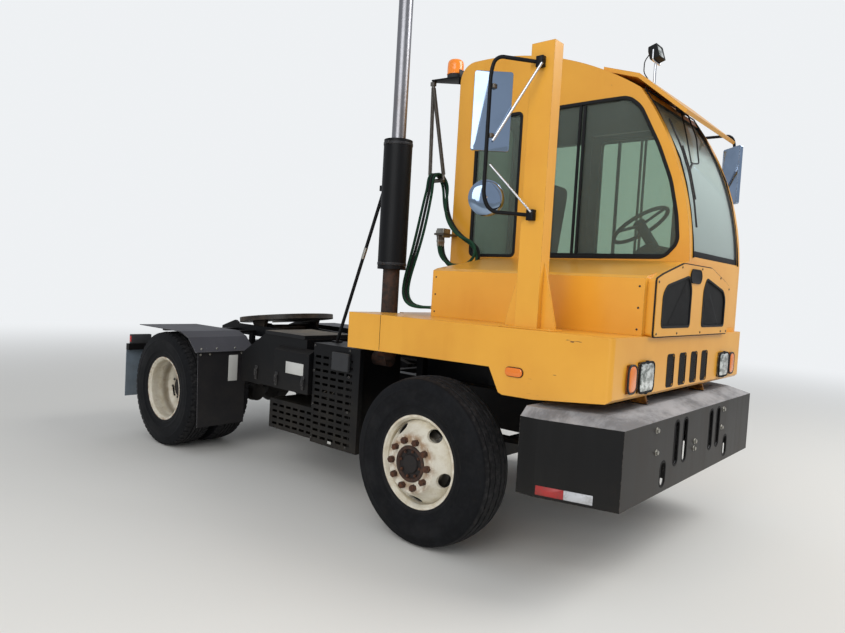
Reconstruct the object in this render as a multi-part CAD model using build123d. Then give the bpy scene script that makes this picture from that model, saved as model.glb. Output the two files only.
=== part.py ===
from build123d import *
from math import cos, pi, radians, sin, tan
import os

# Terminal tractor with a one-man cab, a lifting boom and a fifth wheel. Millimetres.
# +X points forward, +Y to the driver's left, +Z up. The origin lies on the ground below
# the middle of the whole machine.

os.makedirs("parts", exist_ok=True)

# Driving dimensions
wheelbase = 3100
front_overhang = 1250          # front axle to the bumper's face
rear_overhang = 740            # rear axle to the mud flaps
length = front_overhang + wheelbase + rear_overhang
half_body = 1100               # middle to the yellow side panels
deck_z = 1385                  # top of the yellow deck
running_gap = 0.05             # radial clearance of a bearing fit
seat_gap = 0.3                 # clearance of a soft or curved seat

ax = length / 2 - front_overhang     # front axle
rx = ax - wheelbase                  # rear axle

# Wheels and tyres
tyre_radius = 520
tyre_width = 279
rim_radius = 298               # over the rim's flange
rim_width = 234
bead_radius = rim_radius - 20
track_y = 1100                 # middle of a front wheel and of an outer rear one
dual_spacing = 330
stud_circle_radius = 142.9
axle_z = tyre_radius
hub_bore_radius = 110          # pilot bore of the wheel disc
disc_thickness = 12
hand_holes = 5
hand_hole_circle = 224
hand_hole_width = 96           # along the rim
hand_hole_depth = 54
hand_hole_turn = 17
nut_radius = 21

# Frame
rail_y = 430                   # outer face of a rail
rail_flange = 90
rail_web = 12
rail_z0 = 640
rail_z1 = 900
rail_front_x = ax + 1080
rail_rear_x = rx - rear_overhang + 40

# Steering
kingpin_y = 905
kingpin_radius = 22
beam_eye_radius = 55
beam_eye_height = 110
steer_limit = 35

# Cab
cab_right_y = -10
cab_left_y = 1063
cab_rear_x = ax - 800
cab_wall = 40
cab_floor_z = deck_z
cab_sill_z = 1845              # lower edge of the glass
door_gap = 6

# Fifth wheel and its boom
coupler_x = rx + 200
coupler_z = 1200               # top of the plate over its pivot when level
coupler_rest = 7.5             # degrees that the free plate leans to the rear
coupler_radius = 470
coupler_thickness = 45
jaw_radius = 25.6              # closed jaw round a kingpin of 50.8
boom_pivot_x = rx + 1620
boom_pivot_z = 800
boom_pin_radius = 35
boom_arm_y = 300               # outer face of an arm
boom_arm_width = 60
coupler_pivot_z = coupler_z - 115
boom_web_y = 425               # outer face of the boom's side webs
boom_web_wall = 15
cylinder_low = (rx + 1180, 700)      # x, z of the lift cylinders' lower pins
cylinder_high = (rx + 780, 1000)
cylinder_y = 160
cylinder_pin = 20              # radius of the pins above
rod_eye_slack = 9              # room in the rod's eye, which leaves its pin a little as the boom lifts

# Rear sheet metal
fender_top = 1078
fender_drop = 14.3             # underside of the fender's sheet below its top
fender_y0 = 640
fender_y1 = 1230
flap_x = rx - rear_overhang
splash_y0 = 735                # inner edge of the panel ahead of the twin wheels
splash_z0 = 255


def box(x0, x1, y0, y1, z0, z1):
    """Block between two corners."""
    centre = Pos((x0 + x1) / 2, (y0 + y1) / 2, (z0 + z1) / 2)
    return centre * Box(x1 - x0, y1 - y0, z1 - z0)


def outline(points, radius=0):
    """Flat face inside straight lines, with its corners rounded."""
    face = make_face(Polyline(*points, close=True))
    return fillet(face.vertices(), radius) if radius else face


def side_plate(points, y0, y1, radius=0):
    """Outline in X and Z, as thick as from y0 to y1."""
    plane = Plane(origin=(0, y0, 0), x_dir=(1, 0, 0), z_dir=(0, -1, 0))
    return extrude(plane * outline(points, radius), amount=y0 - y1)


def cross_plate(points, x0, x1, radius=0):
    """Outline in Y and Z, as thick as from x0 to x1."""
    plane = Plane(origin=(x0, 0, 0), x_dir=(0, 1, 0), z_dir=(1, 0, 0))
    return extrude(plane * outline(points, radius), amount=x1 - x0)


def flat_plate(points, z0, z1, radius=0):
    """Outline in X and Y, as thick as from z0 to z1."""
    return extrude(Plane.XY.offset(z0) * outline(points, radius), amount=z1 - z0)


def rod_between(start, end, radius):
    """Round bar from one point to another."""
    direction = Vector(*end) - Vector(*start)
    return extrude(Plane(origin=start, z_dir=direction) * Circle(radius), amount=direction.length)


def cross_cylinder(x, z, radius, y0, y1):
    """Round bar along Y."""
    return rod_between((x, y0, z), (x, y1, z), radius)


def upright_cylinder(x, y, radius, z0, z1):
    """Round bar along Z."""
    return Pos(x, y, (z0 + z1) / 2) * Cylinder(radius, z1 - z0)


def turned(profile, x, z):
    """Ring turned about an axle along Y, from a profile of radius and y."""
    plane = Plane(origin=(x, 0, z), x_dir=(1, 0, 0), z_dir=(0, 0, 1))
    return revolve(plane * outline(profile), axis=Axis((x, 0, z), (0, 1, 0)))


def both_sides(solid):
    """A piece and its twin on the other side."""
    return Compound([solid, mirror(solid, about=Plane.XZ)])


def join(pieces):
    """One solid from several that touch."""
    whole = pieces[0]
    for piece in pieces[1:]:
        whole = whole + piece
    return whole


def solids(*pieces):
    """One node of solids that stay apart."""
    return Compound([solid for piece in pieces for solid in piece.solids()])


nodes = {}


def keep(name, shape):
    """Give a finished piece its node."""
    nodes[name] = shape


def make_frame():
    """Two channel rails and the cross-members between them."""
    inner = rail_y - rail_flange
    channel = [
        (rail_y, rail_z0), (rail_y, rail_z1), (inner, rail_z1), (inner, rail_z1 - rail_web),
        (rail_y - rail_web, rail_z1 - rail_web), (rail_y - rail_web, rail_z0 + rail_web),
        (inner, rail_z0 + rail_web), (inner, rail_z0),
    ]
    rail = cross_plate(channel, rail_rear_x, rail_front_x)
    pieces = [rail, mirror(rail, about=Plane.XZ)]
    # x from the front axle, half its depth along X, lower and upper edge
    members = [(1040, 40, 700, 860), (780, 35, 650, 695), (-1000, 35, 770, 860), (-1280, 35, 770, 860),
               (-2480, 35, 650, 760), (-3620, 60, 660, 880)]
    web = rail_y - rail_web
    for x, half, z0, z1 in members:
        pieces.append(box(ax + x - half, ax + x + half, -web, web, z0, z1))
    # bosses that carry the boom's pivot pin
    boss_r = boom_pin_radius + 35
    for side in (-1, 1):
        y0, y1 = sorted((side * (boom_arm_y + 10), side * (rail_y - rail_web)))
        ear = side_plate([(boom_pivot_x - boss_r, rail_z0 + rail_web), (boom_pivot_x + boss_r, rail_z0 + rail_web),
                          (boom_pivot_x + boss_r, boom_pivot_z + boss_r), (boom_pivot_x - boss_r, boom_pivot_z + boss_r)],
                         y0, y1)
        pieces.append(ear)
    # posts that carry the yellow body, from the rails' tops up to the deck
    for x in (-700, 250, 820):
        for side in (-1, 1):
            y0, y1 = sorted((side * rail_y, side * (rail_y - 60)))
            pieces.append(box(ax + x - 30, ax + x + 30, y0, y1, rail_z1, deck_z - 20))
    # plates that carry the bumper, its hangers, the fenders' arms and the mud flaps' hangers
    for side in (-1, 1):
        y0, y1 = sorted((side * (rail_y - rail_flange), side * rail_y))
        pieces.append(box(rail_front_x, ax + front_overhang - bumper_wall, y0, y1, 560,
                          bumper_z1 - bumper_wall))
        for x in (-60, 240):
            y0, y1 = sorted((side * rail_y, side * (rail_y + 40)))
            post = box(rx + x - 25, rx + x + 25, y0, y1, rail_z0 + 60, fender_top - fender_drop)
            y0, y1 = sorted((side * rail_y, side * (fender_y1 - 30)))
            arm = box(rx + x - 25, rx + x + 25, y0, y1, fender_top - fender_drop - 18, fender_top - fender_drop)
            pieces.append(post + arm)
        y0, y1 = sorted((side * (rail_y - rail_web), side * fender_y1))
        pieces.append(box(flap_x + 8, flap_x + 60, y0, y1, 800, 860))
    pin = cross_cylinder(boom_pivot_x, boom_pivot_z, boom_pin_radius, -rail_y + rail_web, rail_y - rail_web)
    # ears below the boom that hold the lift cylinders' lower pins
    for side in (-1, 1):
        for edge in (-1, 1):
            middle = side * cylinder_y + edge * 48
            ear = box(cylinder_low[0] - 45, cylinder_low[0] + 45, middle - 8, middle + 8, 640, cylinder_low[1] + 40)
            pieces.append(ear)
        pieces.append(cross_cylinder(cylinder_low[0], cylinder_low[1], 25, side * cylinder_y - 56,
                                     side * cylinder_y + 56))
        y0, y1 = sorted((side * (cylinder_y - 60), side * (rail_y - rail_web)))
        pieces.append(box(cylinder_low[0] - 60, cylinder_low[0] + 60, y0, y1, rail_z0, rail_z0 + rail_web))
    frame = join(pieces + [pin])
    keep("frame_rails", frame)


bumper_z0 = 517
bumper_z1 = 931
bumper_top_z = 980
bumper_half = 1110
bumper_fold_y = 1220
bumper_wall = 12


def bumper_plan(inset, front, half, fold):
    """Plan of the bumper: a flat front, sides that widen to a fold, and straight ends."""
    right = [(ax + 712, -fold), (ax + 822, -fold), (ax + front - inset, -half)]
    return right + [(x, -y) for x, y in reversed(right)]


def make_bumper():
    """Deep folded steel bumper, open to the rear and below, with slots in its face."""
    wall = bumper_wall
    outer = flat_plate(bumper_plan(0, front_overhang, bumper_half, bumper_fold_y), bumper_z0, bumper_z1)
    low = Plane.XY.offset(bumper_z1) * outline(bumper_plan(0, front_overhang, bumper_half, bumper_fold_y))
    high = Plane.XY.offset(bumper_top_z) * outline(bumper_plan(130, front_overhang, bumper_half - 105,
                                                              bumper_fold_y - 60))
    outer = outer + loft([low, high], ruled=True)
    hollow = flat_plate([(ax + 700, -bumper_fold_y + wall), (ax + 820, -bumper_fold_y + wall),
                         (ax + front_overhang - wall, -bumper_half + wall),
                         (ax + front_overhang - wall, bumper_half - wall),
                         (ax + 820, bumper_fold_y - wall), (ax + 700, bumper_fold_y - wall)],
                        bumper_z0 - 1, bumper_z1 - wall)
    shell = outer - hollow
    shell -= box(ax + 700, ax + 980, -700, 700, bumper_z1 - wall - 1, bumper_top_z + 1)
    # y, z, half width, half height of each slot in the face
    slots = [(-378, 770, 32, 130), (-236, 770, 32, 130), (236, 770, 32, 130), (378, 770, 32, 130),
             (-560, 620, 36, 70), (560, 620, 36, 70)]
    for y, z, half_w, half_h in slots:
        cutter = cross_plate([(y - half_w, z - half_h), (y + half_w, z - half_h),
                              (y + half_w, z + half_h), (y - half_w, z + half_h)],
                             ax + front_overhang - 60, ax + front_overhang + 10, radius=half_w - 2)
        shell -= cutter
    for side in (-1, 1):
        hanger = [(ax + 1010, bumper_top_z - 1), (ax + 1110, bumper_top_z - 1), (ax + 1085, 1060), (ax + 1030, 1060)]
        shell = shell + side_plate(hanger, min(side * 480, side * 500), max(side * 480, side * 500))
    keep("front_bumper", shell)


panel_wall = 30
corner_radius = 28             # bend at the front corners of the yellow body
deck_rear_x = ax - 795
face_x = ax + 1155             # front face of the yellow body
arch_profile = [(-795, 1139), (405, 1150), (478, 1012), (506, 1001), (705, 1004), (1130, 1045), (1155, 1065)]
lamp_z = 1162
lamp_depth = 25
# kind of lamp, middle y, half width and half height of its pocket in the front face
face_lamps = (("clear", 682, 98, 84), ("amber", 870, 52, 76))
stack_x = ax - 795
stack_y = -700
stack_radius = 52
guard_rear_x = ax - 1315
guard_front_x = ax - 900       # front wall of the guard's deep part
guard_lip_x = ax - 807         # front edge of its outer sheet
guard_top_z = 1112
guard_z0 = 350
guard_y = -960                 # its outer face
guard_wall = 8
wing_rear_x = ax - 1880        # low wing behind the guard
wing_y = -930
wing_top_z = 600
louvre_edge = 40
louvre_width = 62
louvre_height = 20
louvre_step_x = 87.5
louvre_step_z = 51
elbow_z = 1035


def make_body():
    """Yellow lower body: deck, two skirts with wheel arches, and the front face with its slots."""
    skirt = [(ax + x, z) for x, z in arch_profile] + [(face_x, deck_z), (deck_rear_x, deck_z)]
    right = side_plate(skirt, -half_body, -half_body + panel_wall)
    left = mirror(right, about=Plane.XZ)
    deck = box(deck_rear_x, face_x, -half_body, half_body, deck_z - 20, deck_z)
    face = box(face_x - panel_wall, face_x, -half_body, half_body, 1065, deck_z)
    chin = side_plate([(face_x - panel_wall, 1065), (face_x - panel_wall, 1045), (ax + 1130, 1045),
                       (face_x, 1065)], -half_body, half_body)
    tail = join([box(deck_rear_x, deck_rear_x + panel_wall, -half_body, -half_body + 240, 1139, deck_z),
                 box(deck_rear_x, deck_rear_x + panel_wall, half_body - 240, half_body, 1139, deck_z)])
    body = join([right, left, deck, face, chin]) + tail
    corners = [edge for edge in body.edges().filter_by(Axis.Z) if abs(edge.center().X - face_x) < 1
               and abs(abs(edge.center().Y) - half_body) < 1]
    body = fillet(corners, corner_radius)
    for y in (-300, -100, 100, 300):
        body -= cross_plate([(y - 55, 1080), (y + 55, 1080), (y + 55, 1270), (y - 55, 1270)],
                            face_x - panel_wall - 5, face_x + 5, radius=25)
    body -= upright_cylinder(stack_x, stack_y, 115, deck_z - 60, deck_z + 10)
    for kind, y, half_w, half_h in face_lamps:
        for side in (-1, 1):
            body -= box(face_x - lamp_depth, face_x + 5, side * y - half_w, side * y + half_w,
                        lamp_z - half_h, lamp_z + half_h)
    body -= box(ax - 150, ax + 760, -330, 330, deck_z - 30, deck_z + 5)
    keep("lower_body", body)


hood_y = -690
hood_rear_x = ax - 400
hood_wall = 20
hood_front_x = ax + 1125


def make_hood():
    """Engine cover beside the cab, with a top that rises to the cab's sill."""
    outer = [(hood_y, deck_z), (hood_y, 1705), (hood_y + 40, 1722), (cab_right_y - seat_gap, cab_sill_z - 3),
             (cab_right_y - seat_gap, deck_z)]
    inner = [(hood_y + hood_wall, deck_z - 1), (hood_y + hood_wall, 1695), (hood_y + 45, 1701),
             (cab_right_y - seat_gap - hood_wall, cab_sill_z - 28), (cab_right_y - seat_gap - hood_wall, deck_z - 1)]
    shell = cross_plate(outer, hood_rear_x, hood_front_x)
    shell -= cross_plate(inner, hood_rear_x + hood_wall, hood_front_x - hood_wall)
    keep("engine_hood", shell)


cover_x = ax + 1180
cover_wall = 12
mesh_windows = (
    [(-560, 1438), (-110, 1438), (-110, 1665), (-160, 1742), (-510, 1672), (-560, 1620)],
    [(110, 1438), (560, 1438), (560, 1620), (510, 1672), (160, 1742), (110, 1665)],
)


def make_front_cover():
    """Raised cover on the front with two mesh windows and a bare badge seat."""
    shape = [(-650, deck_z), (650, deck_z), (650, 1705), (560, 1735), (250, 1812), (-250, 1812),
             (-560, 1735), (-650, 1705)]
    plate = cross_plate(shape, hood_front_x, cover_x, radius=18)
    plate -= cross_plate([(y * 0.955, 1600 + (z - 1600) * 0.9) for y, z in shape],
                         hood_front_x - 1, cover_x - cover_wall)
    meshes = []
    for window in mesh_windows:
        plate -= cross_plate(window, cover_x - 20, cover_x + 5, radius=25)
        middle = sum(y for y, z in window) / len(window)
        large = [(middle + (y - middle) * 1.06, 1590 + (z - 1590) * 1.06) for y, z in window]
        meshes.append(cross_plate(large, cover_x - cover_wall - 6, cover_x - cover_wall - seat_gap, radius=25))
    keep("front_cover", plate)
    keep("cover_mesh", solids(*meshes))


def rim_profile(centre, out):
    """Section of a steel disc wheel: barrel with its two flanges."""
    half = rim_width / 2
    r = rim_radius
    return [(r - 24, centre - out * half), (r, centre - out * half), (r, centre - out * (half - 10)),
            (r - 24, centre - out * (half - 22)), (r - 24, centre + out * (half - 22)),
            (r, centre + out * (half - 10)), (r, centre + out * half), (r - 24, centre + out * half),
            (r - 38, centre + out * (half - 20)), (r - 38, centre - out * (half - 20))]


def disc_profile(rim_inner, disc_y, root_y, out):
    """Dished wheel disc from the hub's face to the barrel."""
    fall = root_y - disc_y
    back = -out * disc_thickness
    return [(hub_bore_radius, disc_y), (178, disc_y), (190, disc_y + fall * 0.12), (232, disc_y + fall * 0.52),
            (rim_inner, root_y), (rim_inner, root_y + back * 1.3), (224, disc_y + fall * 0.52 + back),
            (182, disc_y + fall * 0.12 + back), (174, disc_y + back), (hub_bore_radius, disc_y + back)]


def tyre_profile(centre):
    """Section of a tyre with a flat tread and rounded walls."""
    half = tyre_width / 2
    return [(bead_radius + 20, centre - half + 26), (400, centre - half), (470, centre - half + 10),
            (tyre_radius - 8, centre - half + 26), (tyre_radius, centre - half + 52),
            (tyre_radius, centre + half - 52), (tyre_radius - 8, centre + half - 26),
            (470, centre + half - 10), (400, centre + half), (bead_radius + 20, centre + half - 26)]


def make_wheel(x, centre, disc_y, root_y, out):
    """Steel wheel with five oval hand holes in its dished disc."""
    rim = turned(rim_profile(centre, out), x, axle_z)
    disc = turned(disc_profile(rim_radius - 30, disc_y, root_y, out), x, axle_z)
    y0, y1 = sorted((disc_y + out * 40, root_y - out * 40))
    plane = Plane(origin=(x, y0, axle_z), x_dir=(1, 0, 0), z_dir=(0, 1, 0))
    for step in range(hand_holes):
        place = Rot(0, 0, 360 / hand_holes * step + hand_hole_turn) * Pos(hand_hole_circle, 0)
        disc -= extrude(plane * place * Ellipse(hand_hole_depth / 2, hand_hole_width / 2), amount=y1 - y0)
    return rim + disc


def make_nuts(x, y0, y1):
    """Ten wheel nuts on the stud circle."""
    y0, y1 = sorted((y0, y1))
    plane = Plane(origin=(x, y0, axle_z), x_dir=(1, 0, 0), z_dir=(0, 1, 0))
    places = PolarLocations(stud_circle_radius, 10)
    return Compound([extrude(plane * place * RegularPolygon(nut_radius, 6), amount=y1 - y0) for place in places])


spindle_radius = 40
axle_stub_radius = 55
disc_offset = 176              # a rim's middle to its disc's mounting face
front_disc_y = track_y + disc_offset
rear_disc_y = track_y - dual_spacing / 2


def make_front_wheel(side, name):
    """Front wheel: rim, tyre, drum and hub with its flush cap and nuts."""
    disc_y = side * front_disc_y
    rim = make_wheel(ax, side * track_y, disc_y, side * (track_y + 50), side)
    keep(f"front_tyre_{name}", turned(tyre_profile(side * track_y), ax, axle_z))
    inner = side * (kingpin_y + 75)
    back = disc_y - side * disc_thickness
    bore = spindle_radius + running_gap
    hub = turned([(bore, inner), (205, inner), (205, side * (track_y + 40)), (150, side * (track_y + 60)),
                  (120, back - side * 24), (168, back - side * 20), (168, back), (hub_bore_radius, back),
                  (hub_bore_radius, disc_y + side * 6), (92, disc_y + side * 8), (84, disc_y - side * 6),
                  (60, disc_y - side * 6), (54, disc_y + side * 4), (0, disc_y + side * 8), (0, disc_y - side * 20),
                  (bore, disc_y - side * 20)],
                 ax, axle_z)
    nuts = make_nuts(ax, disc_y - side, disc_y + side * 30)
    keep(f"front_wheel_{name}", join([rim, hub] + list(nuts.solids())))


def make_rear_wheel(side, name):
    """Twin rear wheels on one hub."""
    face = side * rear_disc_y
    outer_y = side * track_y
    inner_y = side * (track_y - dual_spacing)
    outer = make_wheel(rx, outer_y, face + side * disc_thickness, outer_y - side * 60, side)
    inner = make_wheel(rx, inner_y, face - side * disc_thickness, inner_y + side * 60, -side)
    keep(f"rear_tyres_{name}", solids(turned(tyre_profile(outer_y), rx, axle_z),
                                      turned(tyre_profile(inner_y), rx, axle_z)))
    hub_in = side * 640
    bore = axle_stub_radius + running_gap
    back = face - side * disc_thickness
    hub = turned([(bore, hub_in), (205, hub_in), (205, side * 800), (165, side * 860), (165, back),
                  (hub_bore_radius, back), (hub_bore_radius, face + side * 60), (95, face + side * 120),
                  (60, face + side * 135), (0, face + side * 135), (0, face + side * 10), (bore, face + side * 10)],
                 rx, axle_z)
    nuts = make_nuts(rx, face + side * (disc_thickness - 1), face + side * (disc_thickness + 30))
    keep(f"rear_wheels_{name}", join([outer, inner, hub] + list(nuts.solids())))


def make_front_axle():
    """Dropped beam with an eye at each end, leaf springs, kingpins and spindles."""
    eye_z0 = axle_z - beam_eye_height / 2
    eye_z1 = axle_z + beam_eye_height / 2
    beam = cross_plate([(-kingpin_y + 40, axle_z - 45), (-620, axle_z - 95), (620, axle_z - 95),
                        (kingpin_y - 40, axle_z - 45), (kingpin_y - 40, axle_z + 45), (560, axle_z + 5),
                        (-560, axle_z + 5), (-kingpin_y + 40, axle_z + 45)], ax - 50, ax + 50)
    for side in (-1, 1):
        beam = beam + upright_cylinder(ax, side * kingpin_y, beam_eye_radius, eye_z0, eye_z1)
        beam = beam - upright_cylinder(ax, side * kingpin_y, kingpin_radius + running_gap, eye_z0 - 1, eye_z1 + 1)
        seat_y = sorted((side * 335, side * 440))
        beam = beam + box(ax - 90, ax + 90, seat_y[0], seat_y[1], axle_z, axle_z + 30)
    springs = []
    top = axle_z + 30
    leaf = side_plate([(ax - 90, top), (ax + 90, top), (ax + 600, rail_z0 - 60), (ax + 640, rail_z0 - 45),
                       (ax + 640, rail_z0), (ax + 560, rail_z0), (ax + 560, rail_z0 - 32), (ax + 90, top + 32),
                       (ax - 90, top + 32), (ax - 560, rail_z0 - 32), (ax - 560, rail_z0), (ax - 640, rail_z0),
                       (ax - 640, rail_z0 - 45), (ax - 600, rail_z0 - 60)], 345, 425)
    springs.append(leaf)
    springs.append(mirror(leaf, about=Plane.XZ))
    keep("front_axle", join([beam] + springs))
    for side, name in ((-1, "right"), (1, "left")):
        pin = upright_cylinder(ax, side * kingpin_y, kingpin_radius, eye_z0 - 62, eye_z1 + 62)
        lug_y = sorted((side * (kingpin_y - 50), side * (kingpin_y + 62)))
        upper = box(ax - 55, ax + 55, lug_y[0], lug_y[1], eye_z1 + 6, eye_z1 + 60)
        lower = box(ax - 55, ax + 55, lug_y[0], lug_y[1], eye_z0 - 60, eye_z0 - 6)
        yoke_y = sorted((side * (kingpin_y + 60), side * (kingpin_y + 73)))
        yoke = box(ax - 70, ax + 70, yoke_y[0], yoke_y[1], eye_z0 - 60, eye_z1 + 60)
        spindle = cross_cylinder(ax, axle_z, spindle_radius, side * (kingpin_y + 60), side * (front_disc_y - 25))
        arm = flat_plate([(ax - 50, side * kingpin_y - 40), (ax - 50, side * kingpin_y + 40),
                          (tie_x - 26, side * kingpin_y + 24), (tie_x - 26, side * kingpin_y - 24)],
                         eye_z0 - 60, eye_z0 - 30)
        knuckle = join([pin, upper, lower, yoke, spindle, arm])
        knuckle -= upright_cylinder(tie_x, side * kingpin_y, tie_pin_radius + (running_gap if side < 0 else 1),
                                    eye_z0 - 61, eye_z0 - 29)
        keep(f"knuckle_{name}", knuckle)


tie_pin_radius = 12
tie_x = ax - 205
tie_y = kingpin_y
tie_z = axle_z - beam_eye_height / 2 - 92


def make_tie_rod():
    """Rod that joins the two steering arms below the springs."""
    bar = cross_cylinder(tie_x, tie_z, 20, -tie_y + 22, tie_y - 22)
    ends = []
    for side in (-1, 1):
        ends.append(upright_cylinder(tie_x, side * tie_y, 28, tie_z - 24, tie_z + 24))
        ends.append(upright_cylinder(tie_x, side * tie_y, tie_pin_radius, tie_z, tie_z + 62))
    keep("tie_rod", join([bar] + ends))


def make_rear_axle():
    """Housing with the final drive, and the blocks that seat it on the rails."""
    tube = cross_cylinder(rx, axle_z, 75, -600, 600)
    bowl = turned([(0.5, -150), (150, -150), (215, -60), (215, 60), (150, 150), (0.5, 150)], rx, axle_z)
    stubs = cross_cylinder(rx, axle_z, axle_stub_radius, -930, 930)
    nose = rod_between((rx + 100, 0, axle_z), (rx + 330, 0, axle_z + 30), 95)
    axle = join([tube, bowl, stubs, nose])
    for side in (-1, 1):
        y0, y1 = sorted((side * (rail_y - rail_flange), side * rail_y))
        axle = axle + box(rx - 120, rx + 120, y0, y1, axle_z, rail_z0)
    shaft = rod_between((rx + 325, 0, axle_z + 29), (ax - 900 - seat_gap, 0, 700), 45)
    shaft -= box(ax - 900 - seat_gap, ax - 800, -100, 100, 600, 800)
    keep("rear_axle", axle + shaft)


def make_engine():
    """Engine and gearbox as one plain block on the middle of the frame, with the radiator ahead."""
    engine = box(ax - 130, ax + 740, -320, 320, 700, 1345)
    gearbox = box(ax - 900, ax - 130, -230, 230, 620, 1080)
    mounts = box(ax + 60, ax + 160, -rail_y + 15, rail_y - 15, rail_z1, rail_z1 + 30)
    radiator = box(ax + 860, ax + 960, -330, 330, rail_z1 - 100, 1350)
    feet = box(ax + 870, ax + 950, -rail_y + 15, rail_y - 15, rail_z1, rail_z1 + 30)
    keep("engine_block", solids(join([engine, gearbox, mounts]), radiator + feet))


# Cab side outline ahead of its rear wall: x from the front axle, z
roof_rear_z = 3385
roof_arc = ((-660, roof_rear_z), (60, 3290), (715, 2984))
pillar_arc = ((715, 2984), (985, 2500), (1118, cab_sill_z))
windscreen_x = 1118


def cab_edge(shrink=0):
    """Side outline of the cab as a face in local X and Z, moved in by one offset."""
    rear = cab_rear_x
    with BuildSketch() as sketch:
        with BuildLine():
            l1 = Polyline((rear, cab_floor_z), (rear, roof_rear_z - 140))
            l2 = ThreePointArc(l1 @ 1, (rear + 41, roof_rear_z - 41), (ax + roof_arc[0][0], roof_arc[0][1]))
            l3 = ThreePointArc(l2 @ 1, (ax + roof_arc[1][0], roof_arc[1][1]), (ax + roof_arc[2][0], roof_arc[2][1]))
            l4 = ThreePointArc(l3 @ 1, (ax + pillar_arc[1][0], pillar_arc[1][1]),
                               (ax + pillar_arc[2][0], pillar_arc[2][1]))
            Polyline(l4 @ 1, (ax + windscreen_x, cab_floor_z), (rear, cab_floor_z))
        make_face()
        if shrink:
            offset(amount=-shrink, kind=Kind.INTERSECTION)
    return sketch.sketch


def cab_prism(y0, y1, shrink=0):
    """The cab's side outline as a solid between two planes."""
    plane = Plane(origin=(0, y0, 0), x_dir=(1, 0, 0), z_dir=(0, -1, 0))
    return extrude(plane * cab_edge(shrink), amount=y0 - y1)


side_window = [(100, 1855), (98, 2930), (420, 2932), (640, 2930), (730, 2860), (872, 2590), (967, 2359),
               (1020, 2135), (1040, 1960), (955, 1862)]
narrow_window = [(-606, 1855), (-606, 2930), (-190, 2930), (-190, 1855)]
glass_wall = 6
door_left_window = [(-60, 1560), (-60, 2900), (540, 2900), (600, 2780), (600, 1560)]
left_door = (-140, 690, 1420, 2960)          # rear x, front x, sill z, head z
rear_door = (160, 860, 1420, 3120)           # right y, left y, sill z, head z
hinge_offset = 12                            # hinge pin's middle from the cab's outer face
hinge_pin_radius = 6
hinge_barrel_radius = 11
hinge_heights = (1560, 2240, 2760)


def window_cut(points, y0, y1, grow=0, radius=40):
    """Cutter or pane through a side wall."""
    xs = [x for x, z in points]
    zs = [z for x, z in points]
    mid_x = (min(xs) + max(xs)) / 2
    mid_z = (min(zs) + max(zs)) / 2
    sx = 1 + 2 * grow / (max(xs) - min(xs))
    sz = 1 + 2 * grow / (max(zs) - min(zs))
    moved = [(ax + mid_x + (x - mid_x) * sx, mid_z + (z - mid_z) * sz) for x, z in points]
    return side_plate(moved, y0, y1, radius)


def hinge_leaf(x, y, reach_x, reach_y, z0, z1, bore=0):
    """Barrel of a hinge with its leaf, which reaches from the pin's middle along X or Y."""
    leaf = box(min(x, x + reach_x), max(x, x + reach_x), min(y, y + reach_y), max(y, y + reach_y), z0, z1)
    barrel = upright_cylinder(x, y, hinge_barrel_radius, z0, z1)
    whole = barrel + leaf
    return whole - upright_cylinder(x, y, bore, z0 - 1, z1 + 1) if bore else whole


def fixed_hinge(x, y, reach_x, reach_y, z):
    """Pin and two barrels of a hinge on the cab; the door's barrel sits between them."""
    return join([hinge_leaf(x, y, reach_x, reach_y, z - 45, z - 16),
                 hinge_leaf(x, y, reach_x, reach_y, z + 16, z + 45),
                 upright_cylinder(x, y, hinge_pin_radius, z - 45, z + 45)])


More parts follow.
